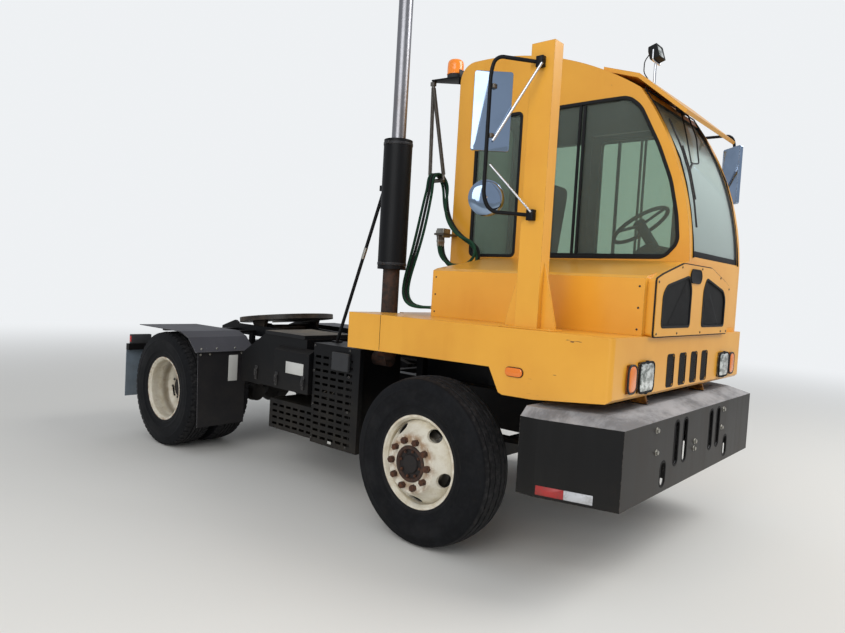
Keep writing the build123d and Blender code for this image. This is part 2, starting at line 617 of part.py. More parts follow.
def make_cab():
    """Hollow cab split where its panels meet: sides, rear wall, roof, floor and front post."""
    right_in = cab_right_y + cab_wall
    left_in = cab_left_y - cab_wall
    right = cab_prism(cab_right_y, right_in)
    right -= window_cut(side_window, cab_right_y - 1, right_in + 1)
    right -= window_cut(narrow_window, cab_right_y - 1, right_in + 1)
    keep("cab_side_right", right)
    left = cab_prism(left_in, cab_left_y)
    x0, x1, z0, z1 = left_door
    left -= box(ax + x0, ax + x1, left_in - 1, cab_left_y + 1, z0, z1)
    left -= window_cut(narrow_window, left_in - 1, cab_left_y + 1, grow=-30)
    for z in hinge_heights:
        left = left + fixed_hinge(ax + x1, cab_left_y + hinge_offset, 45, -hinge_offset, z)
    keep("cab_side_left", left)
    span = cab_prism(right_in, left_in) - cab_prism(right_in - 1, left_in + 1, shrink=cab_wall)
    roof_cut = box(cab_rear_x - 5, ax + 2000, right_in - 2, left_in + 2, cab_floor_z - 5, roof_rear_z - 420)
    rear = span & box(cab_rear_x - 5, cab_rear_x + cab_wall, right_in - 2, left_in + 2, cab_floor_z - 5,
                      roof_rear_z - 140)
    y0, y1, z0, z1 = rear_door
    rear -= box(cab_rear_x - 5, cab_rear_x + cab_wall + 5, y0, y1, z0, z1)
    for z in hinge_heights:
        rear = rear + fixed_hinge(cab_rear_x - hinge_offset, y1, hinge_offset, 45, z)
    keep("cab_rear_wall", rear)
    roof = span & box(cab_rear_x - 5, ax + 712, right_in - 2, left_in + 2, roof_rear_z - 420, roof_rear_z + 5)
    roof -= box(cab_rear_x - 5, cab_rear_x + cab_wall + 0.01, right_in - 2, left_in + 2, 0, roof_rear_z - 140)
    keep("cab_roof", roof)
    floor = box(cab_rear_x + cab_wall, ax + windscreen_x, right_in, left_in, cab_floor_z, cab_floor_z + 30)
    keep("cab_floor", floor)
    nose = box(ax + windscreen_x - cab_wall, ax + windscreen_x, right_in, left_in, cab_floor_z + 30, cab_sill_z)
    front = span & box(ax + 712, ax + 1200, right_in, left_in, cab_sill_z - 1, roof_rear_z)
    rim = 30
    pane_hole = box(ax + 700, ax + 1300, right_in + rim, left_in - rim, cab_sill_z + rim, 2984 - 60)
    keep("cab_front", (front - pane_hole) + nose)
    pane = cab_prism(right_in + rim, left_in - rim, shrink=16) - cab_prism(right_in + rim - 1, left_in - rim + 1,
                                                                        shrink=16 + glass_wall)
    pane = pane & box(ax + 712, ax + 1200, right_in + rim, left_in - rim, cab_sill_z + rim, 2984 - 60)
    keep("windscreen_glass", pane)
    panes = [window_cut(side_window, cab_right_y + 14, cab_right_y + 14 + glass_wall),
             window_cut(narrow_window, cab_right_y + 14, cab_right_y + 14 + glass_wall),
             window_cut(narrow_window, cab_left_y - 20, cab_left_y - 14, grow=-30)]
    keep("side_glass", solids(*panes))


def make_doors():
    """Driver's door on the left and a swing door in the rear wall, each with its pane."""
    x0, x1, z0, z1 = left_door
    g = door_gap
    panel = box(ax + x0 + g, ax + x1 - g, cab_left_y - cab_wall, cab_left_y, z0 + g, z1 - g)
    panel -= window_cut(door_left_window, cab_left_y - cab_wall - 1, cab_left_y + 1)
    bore = hinge_pin_radius + running_gap
    for z in hinge_heights:
        panel = panel + hinge_leaf(ax + x1, cab_left_y + hinge_offset, -45, -hinge_offset, z - 15, z + 15, bore)
    keep("left_door", panel)
    keep("left_door_glass", window_cut(door_left_window, cab_left_y - 20, cab_left_y - 14))
    y0, y1, z0, z1 = rear_door
    panel = box(cab_rear_x, cab_rear_x + cab_wall, y0 + g, y1 - g, z0 + g, z1 - g)
    hole = [(y0 + 90, 1700), (y1 - 90, 1700), (y1 - 90, 3020), (y0 + 90, 3020)]
    panel -= cross_plate(hole, cab_rear_x - 1, cab_rear_x + cab_wall + 1, radius=50)
    for z in hinge_heights:
        panel = panel + hinge_leaf(cab_rear_x - hinge_offset, y1, hinge_offset, -45, z - 15, z + 15, bore)
    keep("rear_door", panel)
    keep("rear_door_glass", cross_plate(hole, cab_rear_x + 14, cab_rear_x + 14 + glass_wall, radius=50))


seat_x = ax - 60
seat_y = 520
wheel_pivot = (ax + 560, seat_y, 2130)
column_tilt = 35


def make_interior():
    """Seat on its pedestal, dash, steering column and steering wheel."""
    floor = cab_floor_z + 30
    nodes["cab_floor"] = nodes["cab_floor"] + box(seat_x - 180, seat_x + 180, seat_y - 160, seat_y + 160,
                                                  floor - 1, 1700)
    cushion = fillet(box(seat_x - 260, seat_x + 270, seat_y - 250, seat_y + 250, 1700 + seat_gap, 1830).edges(), 30)
    back = side_plate([(seat_x - 250, 1830 + seat_gap), (seat_x - 130, 1830 + seat_gap), (seat_x - 210, 2480), (seat_x - 300, 2480)],
                      seat_y - 235, seat_y + 235, radius=35)
    keep("seat_cushions", solids(cushion, back))
    dash = side_plate([(ax + 760, floor), (ax + windscreen_x - cab_wall, floor),
                       (ax + windscreen_x - cab_wall, cab_sill_z - 5), (ax + 820, 1960), (ax + 730, 1900)],
                      cab_right_y + cab_wall + 5, cab_left_y - cab_wall - 5)
    tilt = radians(column_tilt)
    along = (sin(-tilt), 0, cos(tilt))
    low = tuple(p - a * 420 for p, a in zip(wheel_pivot, along))
    top = tuple(p - a * seat_gap for p, a in zip(wheel_pivot, along))
    column = rod_between(low, top, 38)
    keep("dashboard", dash + column)
    plane = Plane(origin=wheel_pivot, x_dir=(0, 1, 0), z_dir=along)
    ring = revolve(plane * Pos(215, 0) * Rot(90, 0, 0) * RegularPolygon(15, 8), axis=Axis(wheel_pivot, along))
    hub = extrude(plane * Circle(45), amount=30, both=True)
    spokes = [extrude(plane * Rot(0, 0, turn) * Pos(125.5, 0) * Rectangle(171, 28), amount=6, both=True)
              for turn in (30, 150, 270)]
    keep("steering_wheel", join([ring, hub & extrude(plane * Circle(60), amount=40)] + spokes))


post_x = ax + 600
post_y = -1003
post_top_z = 2975


def make_mirror_post():
    """Box post on the deck with a flared, gusseted foot, mirrors and their tube frames."""
    half = 74
    post = box(post_x - half, post_x + half, post_y - 45, post_y + 45, deck_z, post_top_z)
    for side in (-1, 1):
        post = post + side_plate([(post_x, deck_z), (post_x + side * 165, deck_z), (post_x + side * 165, deck_z + 30),
                                  (post_x + side * half, deck_z + 380), (post_x, deck_z + 380)],
                                 post_y - 6, post_y + 6)
    keep("mirror_post", post)


# Route of a mirror's tube: x from its mounting, distance from the middle of the machine (0: its mounting), z
tube_route = [(0, 0, 2860), (-205, 1198, 2890), (-225, 1213, 2810), (-225, 1213, 2110), (-190, 1190, 2030),
              (0, 0, 2020)]
tube_radius = 11


def make_mirrors():
    """Flat and round mirrors on a bent tube, both sides of the machine."""
    outer = post_y - 45
    frames = []
    heads = []
    # mounting face x, y, the side that it faces, 1 where the tube leans to the rear or -1 to the front, and the
    # heights of the flat and the round mirror
    for base_x, base_y, side, lean, flat_z, round_z in ((post_x, outer, -1, 1, 2590, 2110),
                                                        (ax + 748, cab_left_y, 1, -1, 2572, 2240)):
        points = [(base_x + lean * x, side * max(y, side * base_y), z) for x, y, z in tube_route]
        path = FilletPolyline(*points, radius=[30, 30, 45, 45])
        plane = Plane(origin=points[0], z_dir=path % 0)
        tube = sweep(plane * Circle(tube_radius), path=path)
        clamps = [box(base_x - 22, base_x + 22, *sorted((base_y + side * seat_gap, base_y + side * 34)),
                      z - 30, z + 30) for z in (tube_route[0][2], tube_route[-1][2])]
        tube = join([tube] + clamps)
        tube -= box(base_x - 80, base_x + 80, *sorted((base_y - side * 60, base_y + side * seat_gap)), 2000, 3000)
        frames.append(tube)
        across = Vector(0.757, -side * 0.653, 0)
        facing = Vector(0.653, side * 0.757, 0)
        tube_at = Vector(base_x + lean * tube_route[2][0], side * tube_route[2][1], 0)
        for size, z in (("flat", flat_z), ("round", round_z)):
            at = tube_at - facing * (tube_radius + seat_gap) + across * 20 + Vector(0, 0, z)
            plane = Plane(origin=tuple(at), x_dir=tuple(across), z_dir=tuple(facing * -1))
            if size == "flat":
                heads.append(extrude(plane * RectangleRounded(215, 440, 12), amount=28))
            else:
                heads.append(extrude(plane * Circle(104), amount=30, taper=30))
    keep("mirror_frames", solids(*frames))
    keep("mirror_heads", solids(*heads))


def sun_visor_shape():
    """Bent visor over the windscreen, seated on the roof's curve."""
    visor = side_plate([(430, 3170), (690, 3085), (1030, 2800), (1012, 2782), (680, 3058), (430, 3140)],
                       cab_right_y + 30, cab_left_y - 30)
    visor = Pos(ax, 0, 0) * visor
    return visor - cab_prism(cab_right_y - 5, cab_left_y + 5, shrink=-seat_gap)


def make_lamps():
    """Head, turn and marker lamps, the work lamp, the beacon and the tail lamps."""
    clear = []
    amber = []
    for side in (-1, 1):
        for kind, middle, half_w, half_h in face_lamps:
            y0, y1 = side * middle - half_w + seat_gap, side * middle + half_w - seat_gap
            z0, z1 = lamp_z - half_h + seat_gap, lamp_z + half_h - seat_gap
            lamp = cross_plate([(y0, z0), (y1, z0), (y1, z1), (y0, z1)],
                               face_x - lamp_depth + seat_gap, face_x + 6, radius=20)
            (clear if kind == "clear" else amber).append(lamp)
        y0, y1 = sorted((side * (half_body + seat_gap), side * (half_body + 16)))
        amber.append(side_plate([(ax + 520, 1112), (ax + 640, 1112), (ax + 640, 1168), (ax + 520, 1168)], y0, y1, 24))
    lamp = box(work_lamp_x, work_lamp_x + 60, 130, 240, 3205, 3300)
    stem = box(work_lamp_x + 15, work_lamp_x + 35, 175, 195, 3020, 3205)
    stem -= sun_visor_shape()
    stem = stem.solids().sort_by(Axis.Z)[-1]
    keep("headlamps", solids(*clear, lamp + stem))
    plate = flat_plate([(cab_rear_x - seat_gap, -5), (cab_rear_x - seat_gap, 190), (beacon_x - 20, 140),
                        (bracket_tip[0], bracket_tip[1] + 30), (bracket_tip[0], bracket_tip[1] - 30),
                        (beacon_x - 20, -30)], beacon_z - 12, beacon_z)
    plate = plate + box(cab_rear_x - 30, cab_rear_x - seat_gap, 0, 130, beacon_z - 60, beacon_z + 60)
    dome = upright_cylinder(beacon_x, beacon_y, 62, beacon_z + 34, beacon_z + 130)
    dome = fillet(dome.edges().group_by(Axis.Z)[-1], 18)
    keep("beacon", join([dome, upright_cylinder(beacon_x, beacon_y, 66, beacon_z, beacon_z + 34), plate]))
    springs = []
    for foot in spring_feet:
        springs.append(rod_between((bracket_tip[0], bracket_tip[1], beacon_z - 30), foot, 12))
    hook = box(bracket_tip[0] - 20, bracket_tip[0] + 20, bracket_tip[1] - 15, bracket_tip[1] + 15,
               beacon_z - 45, beacon_z - 12 - seat_gap)
    saddle = rod_between(spring_feet[0], spring_feet[1], 16)
    glands = []
    couplings = []
    for name, along, out, sag in hose_places:
        points = hose_points(along, out, sag)
        glands.append(rod_between((hood_rear_x, points[0][1], points[0][2]), points[0], 13))
        end = Vector(*points[-1])
        heading = (end - Vector(*points[-2])).normalized()
        couplings.append(rod_between(tuple(end), tuple(end + heading * 45), 14))
    base = box(hood_rear_x - 8, hood_rear_x, -625, -525, 1415, 1465)
    holder = box(ax - 835, ax - 740, -190, cab_right_y, 2003, 2018)
    keep("hose_supports", solids(join(springs + [hook, saddle]), join(glands + [base]), join(couplings + [holder])))
    tails = both_sides(box(flap_x + 8, flap_x + 56, -1200, -1000, 860.3, 950))
    keep("signal_lamps", solids(*amber, tails))


hose_radius = 11
beacon_z = 3300
beacon_x = ax - 905
beacon_y = 45
bracket_tip = (ax - 1080, -20)
spring_feet = ((ax - 1040, -42, 2462), (ax - 890, -42, 2462))
work_lamp_x = ax + 700


def make_rear_fenders():
    """Bent sheet fenders over the twin wheels, their arms, mud flaps and tail lamps."""
    top = fender_top
    shape = [(rx - 470, top - 8), (rx + 290, top - 8), (rx + 420, top - 50), (rx + 552, 912), (rx + 575, 912),
             (rx + 575, 906), (rx + 547, 906), (rx + 415, top - 57), (rx + 288, top - 14), (rx - 470, top - 14)]
    sheet = side_plate(shape, -fender_y1, -fender_y0)
    splash = cross_plate([(-fender_y1 + 14, 907), (-splash_y0, 907), (-splash_y0, splash_z0),
                          (-fender_y1 + 32, splash_z0)], rx + 560, rx + 566)
    keep("rear_fenders", both_sides(sheet + splash))
    flap = box(flap_x, flap_x + 8, -1225, -650, 340, 850)
    keep("mud_flaps", both_sides(flap))


lid_hinge_y = -446
lid_hinge_z = 1138


def make_side_boxes():
    """Battery and fluid boxes with a hinged lid, tank and steps on the left, and the louvred guard."""
    shape = [(ax - 2310, 685), (ax - 1440, 700), (ax - 1440, 1120), (ax - 1985, 1120), (ax - 2310, 925)]
    outer = side_plate(shape, -930, -rail_y)
    outer += cross_plate([(-925, 705), (-985, 705), (-985, 1015), (-925, 1048)], ax - 1775, ax - 1340)
    outer -= side_plate([(ax - 2280, 725), (ax - 1470, 730), (ax - 1470, 1125), (ax - 1945, 1125), (ax - 1945, 1108),
                         (ax - 2280, 908)], -900, -470)
    lid_x0, lid_x1 = ax - 1970, ax - 1460
    for x0, x1, pin_x in ((lid_x0 - 16, lid_x0 - 5, lid_x0 + 40), (lid_x1 + 5, lid_x1 + 16, lid_x1 - 40)):
        outer += box(x0, x1, lid_hinge_y - 20, lid_hinge_y + 10, 1100, lid_hinge_z + 12)
        outer += rod_between((min(x0, pin_x), lid_hinge_y, lid_hinge_z), (max(x1, pin_x), lid_hinge_y, lid_hinge_z), 5)
    keep("battery_box", outer)
    lid = box(lid_x0, lid_x1, -940, lid_hinge_y - 8, 1120 + seat_gap, 1150)
    lid += rod_between((lid_x0, lid_hinge_y, lid_hinge_z), (lid_x1, lid_hinge_y, lid_hinge_z), 11)
    lid -= rod_between((lid_x0 - 1, lid_hinge_y, lid_hinge_z), (lid_x1 + 1, lid_hinge_y, lid_hinge_z),
                       5 + running_gap)
    keep("battery_lid", lid)
    tank = side_plate([(ax - 2300, 600), (ax - 1400, 600), (ax - 1400, 1050), (ax - 2300, 1050)], rail_y, 930, 90)
    keep("fuel_tank", tank)
    steps = []
    for z in (430, 760, 1080):
        steps.append(box(ax - 700 - 600, ax - 700, 900, 1190, z, z + 35))
    sides = [box(ax - 1300, ax - 1270, rail_y, 1180, 430, 1115), box(ax - 730, ax - 700, rail_y, 1180, 430, 1115)]
    keep("left_steps", join(steps + sides))


def make_cylinders():
    """Two lift cylinders below the boom."""
    low = Vector(cylinder_low[0], 0, cylinder_low[1])
    high = Vector(cylinder_high[0], 0, cylinder_high[1])
    barrels = []
    rods = []
    along = (high - low).normalized()
    for side in (-1, 1):
        offset = Vector(0, side * cylinder_y, 0)
        start = low + offset
        end = high + offset
        tube = rod_between(tuple(start + along * 70), tuple(end - along * 110), 60)
        tube = tube + rod_between(tuple(start + along * 30), tuple(start + along * 75), 32)
        eye = cross_cylinder(low.X, low.Z, 42, side * cylinder_y - 35, side * cylinder_y + 35)
        tube = tube + eye
        tube -= rod_between(tuple(start + along * 90), tuple(end), 33)
        tube -= cross_cylinder(low.X, low.Z, 25 + running_gap, -500, 500)
        barrels.append(tube)
        rod = rod_between(tuple(start + along * 100), tuple(end - along * 40), 32.95)
        rod = rod + cross_cylinder(high.X, high.Z, 45, side * cylinder_y - 30, side * cylinder_y + 30)
        rod -= cross_cylinder(high.X, high.Z, cylinder_pin + rod_eye_slack, -500, 500)
        rods.append(rod)
    keep("lift_barrels", solids(*barrels))
    keep("lift_rods", solids(*rods))


def louvres(x0, y, z0, columns, rows):
    """Grid of slots that cut through an outer sheet."""
    slots = []
    for column in range(columns):
        x = x0 + louvre_edge + column * louvre_step_x
        for row in range(rows):
            z = z0 + louvre_edge + row * louvre_step_z
            slots.append(box(x, x + louvre_width, y - 1, y + guard_wall + 1, z, z + louvre_height))
    return Compound(slots)


def guard_box():
    """Sheet box round the exhaust's silencer with a low wing behind it, slots in their outer walls."""
    wall = guard_wall
    guard = box(guard_rear_x, guard_front_x, guard_y, -rail_y, guard_z0, guard_top_z)
    guard += box(guard_front_x - wall, guard_lip_x, guard_y, guard_y + wall, guard_z0, guard_top_z)
    guard += box(guard_lip_x - wall, guard_lip_x, guard_y, guard_y + 40, guard_z0, guard_top_z)
    guard += box(wing_rear_x, guard_rear_x + wall, wing_y, -560, guard_z0 + 10, wing_top_z)
    guard -= box(guard_rear_x + wall, guard_front_x - wall, guard_y + wall, -rail_y - wall, guard_z0 + wall,
                 guard_top_z - wall)
    guard -= box(wing_rear_x + wall, guard_rear_x + 2 * wall, wing_y + wall, -560 - wall, guard_z0 + 10 + wall,
                 wing_top_z - wall)
    guard -= box(guard_rear_x - 1, guard_rear_x + wall + 1, guard_y + 60, -rail_y - 60, wing_top_z + 40,
                 guard_top_z - 60)
    guard -= louvres(guard_rear_x - 16, guard_y, guard_z0, 5, 13)
    return guard - louvres(wing_rear_x, wing_y, guard_z0, 6, 4)


def make_stack():
    """Exhaust: rusty lower pipe, round heat shield and bright stack, with its stay."""
    lower = upright_cylinder(stack_x, stack_y, 62, elbow_z, 1760)
    elbow = rod_between((stack_x + 40, stack_y, elbow_z), (guard_front_x, stack_y, elbow_z), 55)
    upper = upright_cylinder(stack_x, stack_y, stack_radius, 1760, 3750)
    bore = upright_cylinder(stack_x, stack_y, stack_radius - 3, 3400, 3760)
    keep("exhaust_pipe", join([lower, elbow, upper]) - bore)
    shield = upright_cylinder(stack_x, stack_y, 105, 1700, 2640) - upright_cylinder(stack_x, stack_y, 99, 1690, 2620)
    shield -= upright_cylinder(stack_x, stack_y, stack_radius + seat_gap, 2600, 2700)
    keep("guard_panel", guard_box())
    foot_x, foot_y = guard_rear_x + 34, stack_y - 60
    foot = box(foot_x - 30, foot_x + 30, foot_y - 30, foot_y + 30, guard_top_z, guard_top_z + 12)
    stay = rod_between((foot_x, foot_y, guard_top_z + 8), (stack_x - 118, stack_y, 2300), 13)
    clamp = box(stack_x - 150, stack_x - 104, stack_y - 20, stack_y + 20, 2280, 2320)
    keep("heat_shield", join([shield, clamp, stay, foot]))


def make_boom():
    """Lifting boom: two arms with cross tubes and outer webs, pinned to the frame."""
    top = coupler_pivot_z + 45
    arm = [(boom_pivot_x + 60, boom_pivot_z - 60), (boom_pivot_x + 60, boom_pivot_z + 70), (rx + 1000, top - 70),
           (coupler_x + 120, top - 45), (coupler_x + 60, top), (coupler_x - 60, top), (coupler_x - 120, top - 45),
           (coupler_x - 520, top - 80), (coupler_x - 520, top - 130), (coupler_x - 60, top - 130),
           (rx + 900, 920), (boom_pivot_x - 60, boom_pivot_z - 60)]
    # side web with a hump ahead of its rear ramp
    web = [(rx - 330, 1066), (rx - 160, 1123), (rx - 100, 1141), (rx - 72, 1138), (rx - 30, 1112), (rx + 490, 1111),
           (rx + 943, 1105), (rx + 1330, 1097), (rx + 1400, 1040), (rx + 1330, 1010), (rx - 250, 1010),
           (rx - 330, 1035)]
    inner = boom_arm_y - boom_arm_width
    sides = []
    for side in (-1, 1):
        plates = [side_plate(arm, *sorted((side * inner, side * boom_arm_y))),
                  side_plate(web, *sorted((side * (boom_web_y - boom_web_wall), side * boom_web_y)))]
        for x in (-260, 520, 940):
            y0, y1 = sorted((side * (boom_arm_y - 5), side * (boom_web_y - 5)))
            plates.append(box(rx + x - 25, rx + x + 25, y0, y1, 1012, 1048))
        arms = join(plates)
        arms -= cross_cylinder(boom_pivot_x, boom_pivot_z, boom_pin_radius + running_gap, -500, 500)
        arms -= cross_cylinder(coupler_x, coupler_pivot_z, 30 + running_gap, -boom_arm_y - 2, boom_arm_y + 2)
        sides.append(arms)
    keep("lift_boom", solids(*sides))
    # cross-members between the arms; the front one carries the cylinders' upper pins
    pin_x, pin_z = cylinder_high
    front = [box(rx + 1180, rx + 1260, -inner, inner, 900, 1000)]
    for side in (-1, 1):
        front.append(cross_cylinder(pin_x, pin_z, cylinder_pin, *sorted((side * 78, side * inner))))
        bracket = [(pin_x - 40, pin_z - 40), (pin_x - 40, pin_z + 40), (rx + 1190, 990), (rx + 1190, 910)]
        front.append(side_plate(bracket, *sorted((side * 78, side * 92))))
    keep("boom_ties", solids(join(front), cross_cylinder(coupler_x + 150, 1045, 28, -inner, inner)))


def make_coupler():
    """Fifth wheel: round plate with its throat, skirt ears and pivot pin, leaning to the rear."""
    plate = upright_cylinder(coupler_x, 0, coupler_radius, coupler_z - coupler_thickness, coupler_z)
    throat = flat_plate([(coupler_x - 600, -190), (coupler_x - 600, 190), (coupler_x - 90, 32), (coupler_x - 90, -32)],
                        coupler_z - 60, coupler_z + 5)
    slot = box(coupler_x - 100, coupler_x, -15, 15, coupler_z - 60, coupler_z + 5)
    plate = plate - throat - slot - upright_cylinder(coupler_x, 0, jaw_radius, coupler_z - 60, coupler_z + 5)
    ear = [(coupler_x - 110, coupler_z - 40), (coupler_x + 110, coupler_z - 40),
           (coupler_x + 50, coupler_pivot_z - 50), (coupler_x - 50, coupler_pivot_z - 50)]
    for side in (-1, 1):
        plate = plate + side_plate(ear, *sorted((side * (boom_arm_y + 8), side * (boom_arm_y + 48))))
    plate = plate + cross_cylinder(coupler_x, coupler_pivot_z, 30, -boom_arm_y - 48, boom_arm_y + 48)
    pivot = Pos(coupler_x, 0, coupler_pivot_z)
    keep("fifth_wheel", pivot * Rot(0, -coupler_rest, 0) * pivot.inverse() * plate)


# Route of the first hose, from its fitting on the hood's rear wall over the saddle to its dummy
# coupling: x from the front axle, y, z
hose_route = [(-425, -575, 1440), (-505, -575, 1440), (-605, -579, 1434), (-700, -580, 1450), (-765, -566, 1508),
              (-792, -536, 1598), (-806, -490, 1705), (-830, -412, 1850), (-860, -330, 2012), (-890, -258, 2165),
              (-918, -196, 2300), (-938, -157, 2370), (-952, -136, 2428), (-960, -118, 2482), (-965, -71, 2515),
              (-966, -13, 2515), (-961, 36, 2482), (-948, 58, 2428), (-922, 46, 2364), (-882, 8, 2294),
              (-828, -40, 2212), (-755, -80, 2120), (-672, -100, 2038), (-583, -109, 1978), (-494, -114, 1945),
              (-435, -116, 1886), (-435, -118, 1804), (-494, -118, 1745), (-585, -116, 1737), (-680, -113, 1758),
              (-762, -111, 1812), (-803, -110, 1888), (-808, -110, 1965)]
# how far each hose lies to the rear over the saddle, out along Y beside the cab, and how much deeper its loop hangs
hose_places = (("supply_hose", 0, 0, 0), ("service_hose", -27, -27, 32), ("power_cable", 27, -54, -38))
rise_start, rise_end = 5, 12   # points between which the hoses turn from side by side to one behind the other
hump_end = 16                  # last point above the saddle, after which they spread along Y
loop_start, loop_end = 22, 31  # points between which they hang beside the cab


def eased(index, first, last):
    """0 up to the first point, 1 from the last, smooth between them."""
    share = min(1, max(0, (index - first) / (last - first)))
    return share * share * (3 - 2 * share)


def hose_points(along, out, sag):
    """The first hose's route moved aside, with its loop hung deeper."""
    points = []
    for index, (x, y, z) in enumerate(hose_route):
        rise = pi / 2 * eased(index, rise_start, rise_end)
        beside = pi / 2 * eased(index, hump_end, loop_start)
        hang = min(1, max(0, (index - loop_start) / (loop_end - loop_start)))
        shift_x = along * sin(rise) * cos(beside)
        shift_y = along * cos(rise) + out * sin(beside)
        points.append((ax + x + shift_x, y + shift_y, z - sag * sin(pi * hang) ** 2))
    return points


def corner_radii(points):
    """Largest radius that each corner of a route has room for."""
    radii = []
    for before, corner, after in zip(points, points[1:], points[2:]):
        first = Vector(*corner) - Vector(*before)
        second = Vector(*after) - Vector(*corner)
        turn = radians(first.get_angle(second))
        radii.append(0.45 * min(first.length, second.length) / tan(turn / 2))
    return radii


def make_hoses():
    """Air hoses and a cable from the deck over the springs to their stowed ends."""
    for name, along, out, sag in hose_places:
        points = hose_points(along, out, sag)
        radii = corner_radii(points)
        path = FilletPolyline(*points, radius=radii)
        tube = sweep(Plane(origin=points[0], z_dir=path % 0) * Circle(hose_radius), path=path)
        keep(name, tube)
        print(name, "length", round(path.length), "tightest", round(min(radii)),
              "volume share", round(tube.volume / (3.14159 * hose_radius ** 2 * path.length), 4))


make_frame()
make_bumper()
make_body()
make_hood()
make_front_cover()
make_front_axle()
make_tie_rod()
for side_sign, side_name in ((-1, "right"), (1, "left")):
    make_front_wheel(side_sign, side_name)
    make_rear_wheel(side_sign, side_name)
make_rear_axle()
make_engine()
make_cab()
make_doors()
make_interior()
make_mirror_post()
make_mirrors()
keep("sun_visor", sun_visor_shape())
make_lamps()
make_rear_fenders()
make_side_boxes()
make_cylinders()
make_stack()
make_boom()
make_coupler()
make_hoses()

for name, shape in nodes.items():
    export_step(shape, f"parts/{name}.step")
    print(name, len(shape.solids()), "solids")
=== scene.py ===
import bpy
import bmesh
from math import atan2, cos, pi, radians, sin
from mathutils import Matrix, Quaternion, Vector


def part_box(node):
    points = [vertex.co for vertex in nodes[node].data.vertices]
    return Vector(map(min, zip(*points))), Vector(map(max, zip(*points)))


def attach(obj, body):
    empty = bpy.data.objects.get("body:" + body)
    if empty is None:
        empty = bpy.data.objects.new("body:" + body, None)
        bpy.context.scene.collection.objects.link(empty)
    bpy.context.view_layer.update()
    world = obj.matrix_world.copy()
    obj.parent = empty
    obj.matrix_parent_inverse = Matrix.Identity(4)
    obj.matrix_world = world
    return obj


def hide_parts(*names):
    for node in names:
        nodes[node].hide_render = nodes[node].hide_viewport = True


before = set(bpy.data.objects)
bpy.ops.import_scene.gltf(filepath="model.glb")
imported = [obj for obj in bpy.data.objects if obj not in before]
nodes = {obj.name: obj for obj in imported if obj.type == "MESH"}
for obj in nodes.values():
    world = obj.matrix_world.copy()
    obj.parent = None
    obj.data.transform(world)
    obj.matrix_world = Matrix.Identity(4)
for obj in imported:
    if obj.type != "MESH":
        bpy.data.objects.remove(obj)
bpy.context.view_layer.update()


# The axles' middles, taken from the frame
def middle(node):
    low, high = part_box(node)
    return (low + high) / 2


frontAxle, rearAxle = middle("front_tyre_right"), middle("rear_tyres_right")
axleGap = rearAxle.x - frontAxle.x
rearX = axleGap * 1000  # the rear axle, in mm from the front one
print("frame loaded", len(nodes), "nodes")


# Camera, solved from the wheels and the body in the picture
cameraSet = {"place": (frontAxle.x + 2.5821, -4.2324, 1.5956), "heading": 130.8, "down": 2.7, "roll": 3.3,
             "lens": 28.106, "sensor": 36}


def makeCamera(c):
    heading, down = radians(c["heading"]), radians(c["down"])
    look = Vector((cos(heading) * cos(down), sin(heading) * cos(down), -sin(down)))
    data = bpy.data.cameras.new("camera")
    data.sensor_width = c["sensor"]
    data.lens = c["lens"]
    camera = bpy.data.objects.new("camera", data)
    camera.location = c["place"]
    camera.rotation_mode = "QUATERNION"
    camera.rotation_quaternion = look.to_track_quat("-Z", "Y") @ Quaternion((0, 0, 1), radians(c["roll"]))
    bpy.context.scene.collection.objects.link(camera)
    bpy.context.scene.camera = camera


makeCamera(cameraSet)


# Shader maths: a value wraps a socket, and arithmetic on it adds Math nodes
class Value:
    def __init__(self, graph, socket):
        self.graph = graph
        self.socket = socket

    def math(self, operation, *others, clamp=False):
        return self.graph.add("ShaderNodeMath", {"operation": operation, "use_clamp": clamp},
                              dict(enumerate((self, *others))))

    def __add__(self, other):
        return self.math("ADD", other)

    def __mul__(self, other):
        return self.math("MULTIPLY", other)

    __radd__, __rmul__ = __add__, __mul__

    def __sub__(self, other):
        return self.math("SUBTRACT", other)

    def __rsub__(self, other):
        return self.graph.add("ShaderNodeMath", {"operation": "SUBTRACT"}, {0: other, 1: self})

    def __pow__(self, other):
        return self.math("POWER", other)

    def step(self, low, high):  # 0 below low, 1 above high, smooth between
        return self.graph.add("ShaderNodeMapRange", {"interpolation_type": "SMOOTHSTEP"},
                              {"Value": self, "From Min": low, "From Max": high})

    def size(self):  # the value without its sign
        return self.math("ABSOLUTE")

    def wave(self):  # a sine between 0 and 1
        return self.math("SINE") * 0.5 + 0.5

    def clamp(self):
        return self.math("ADD", 0, clamp=True)


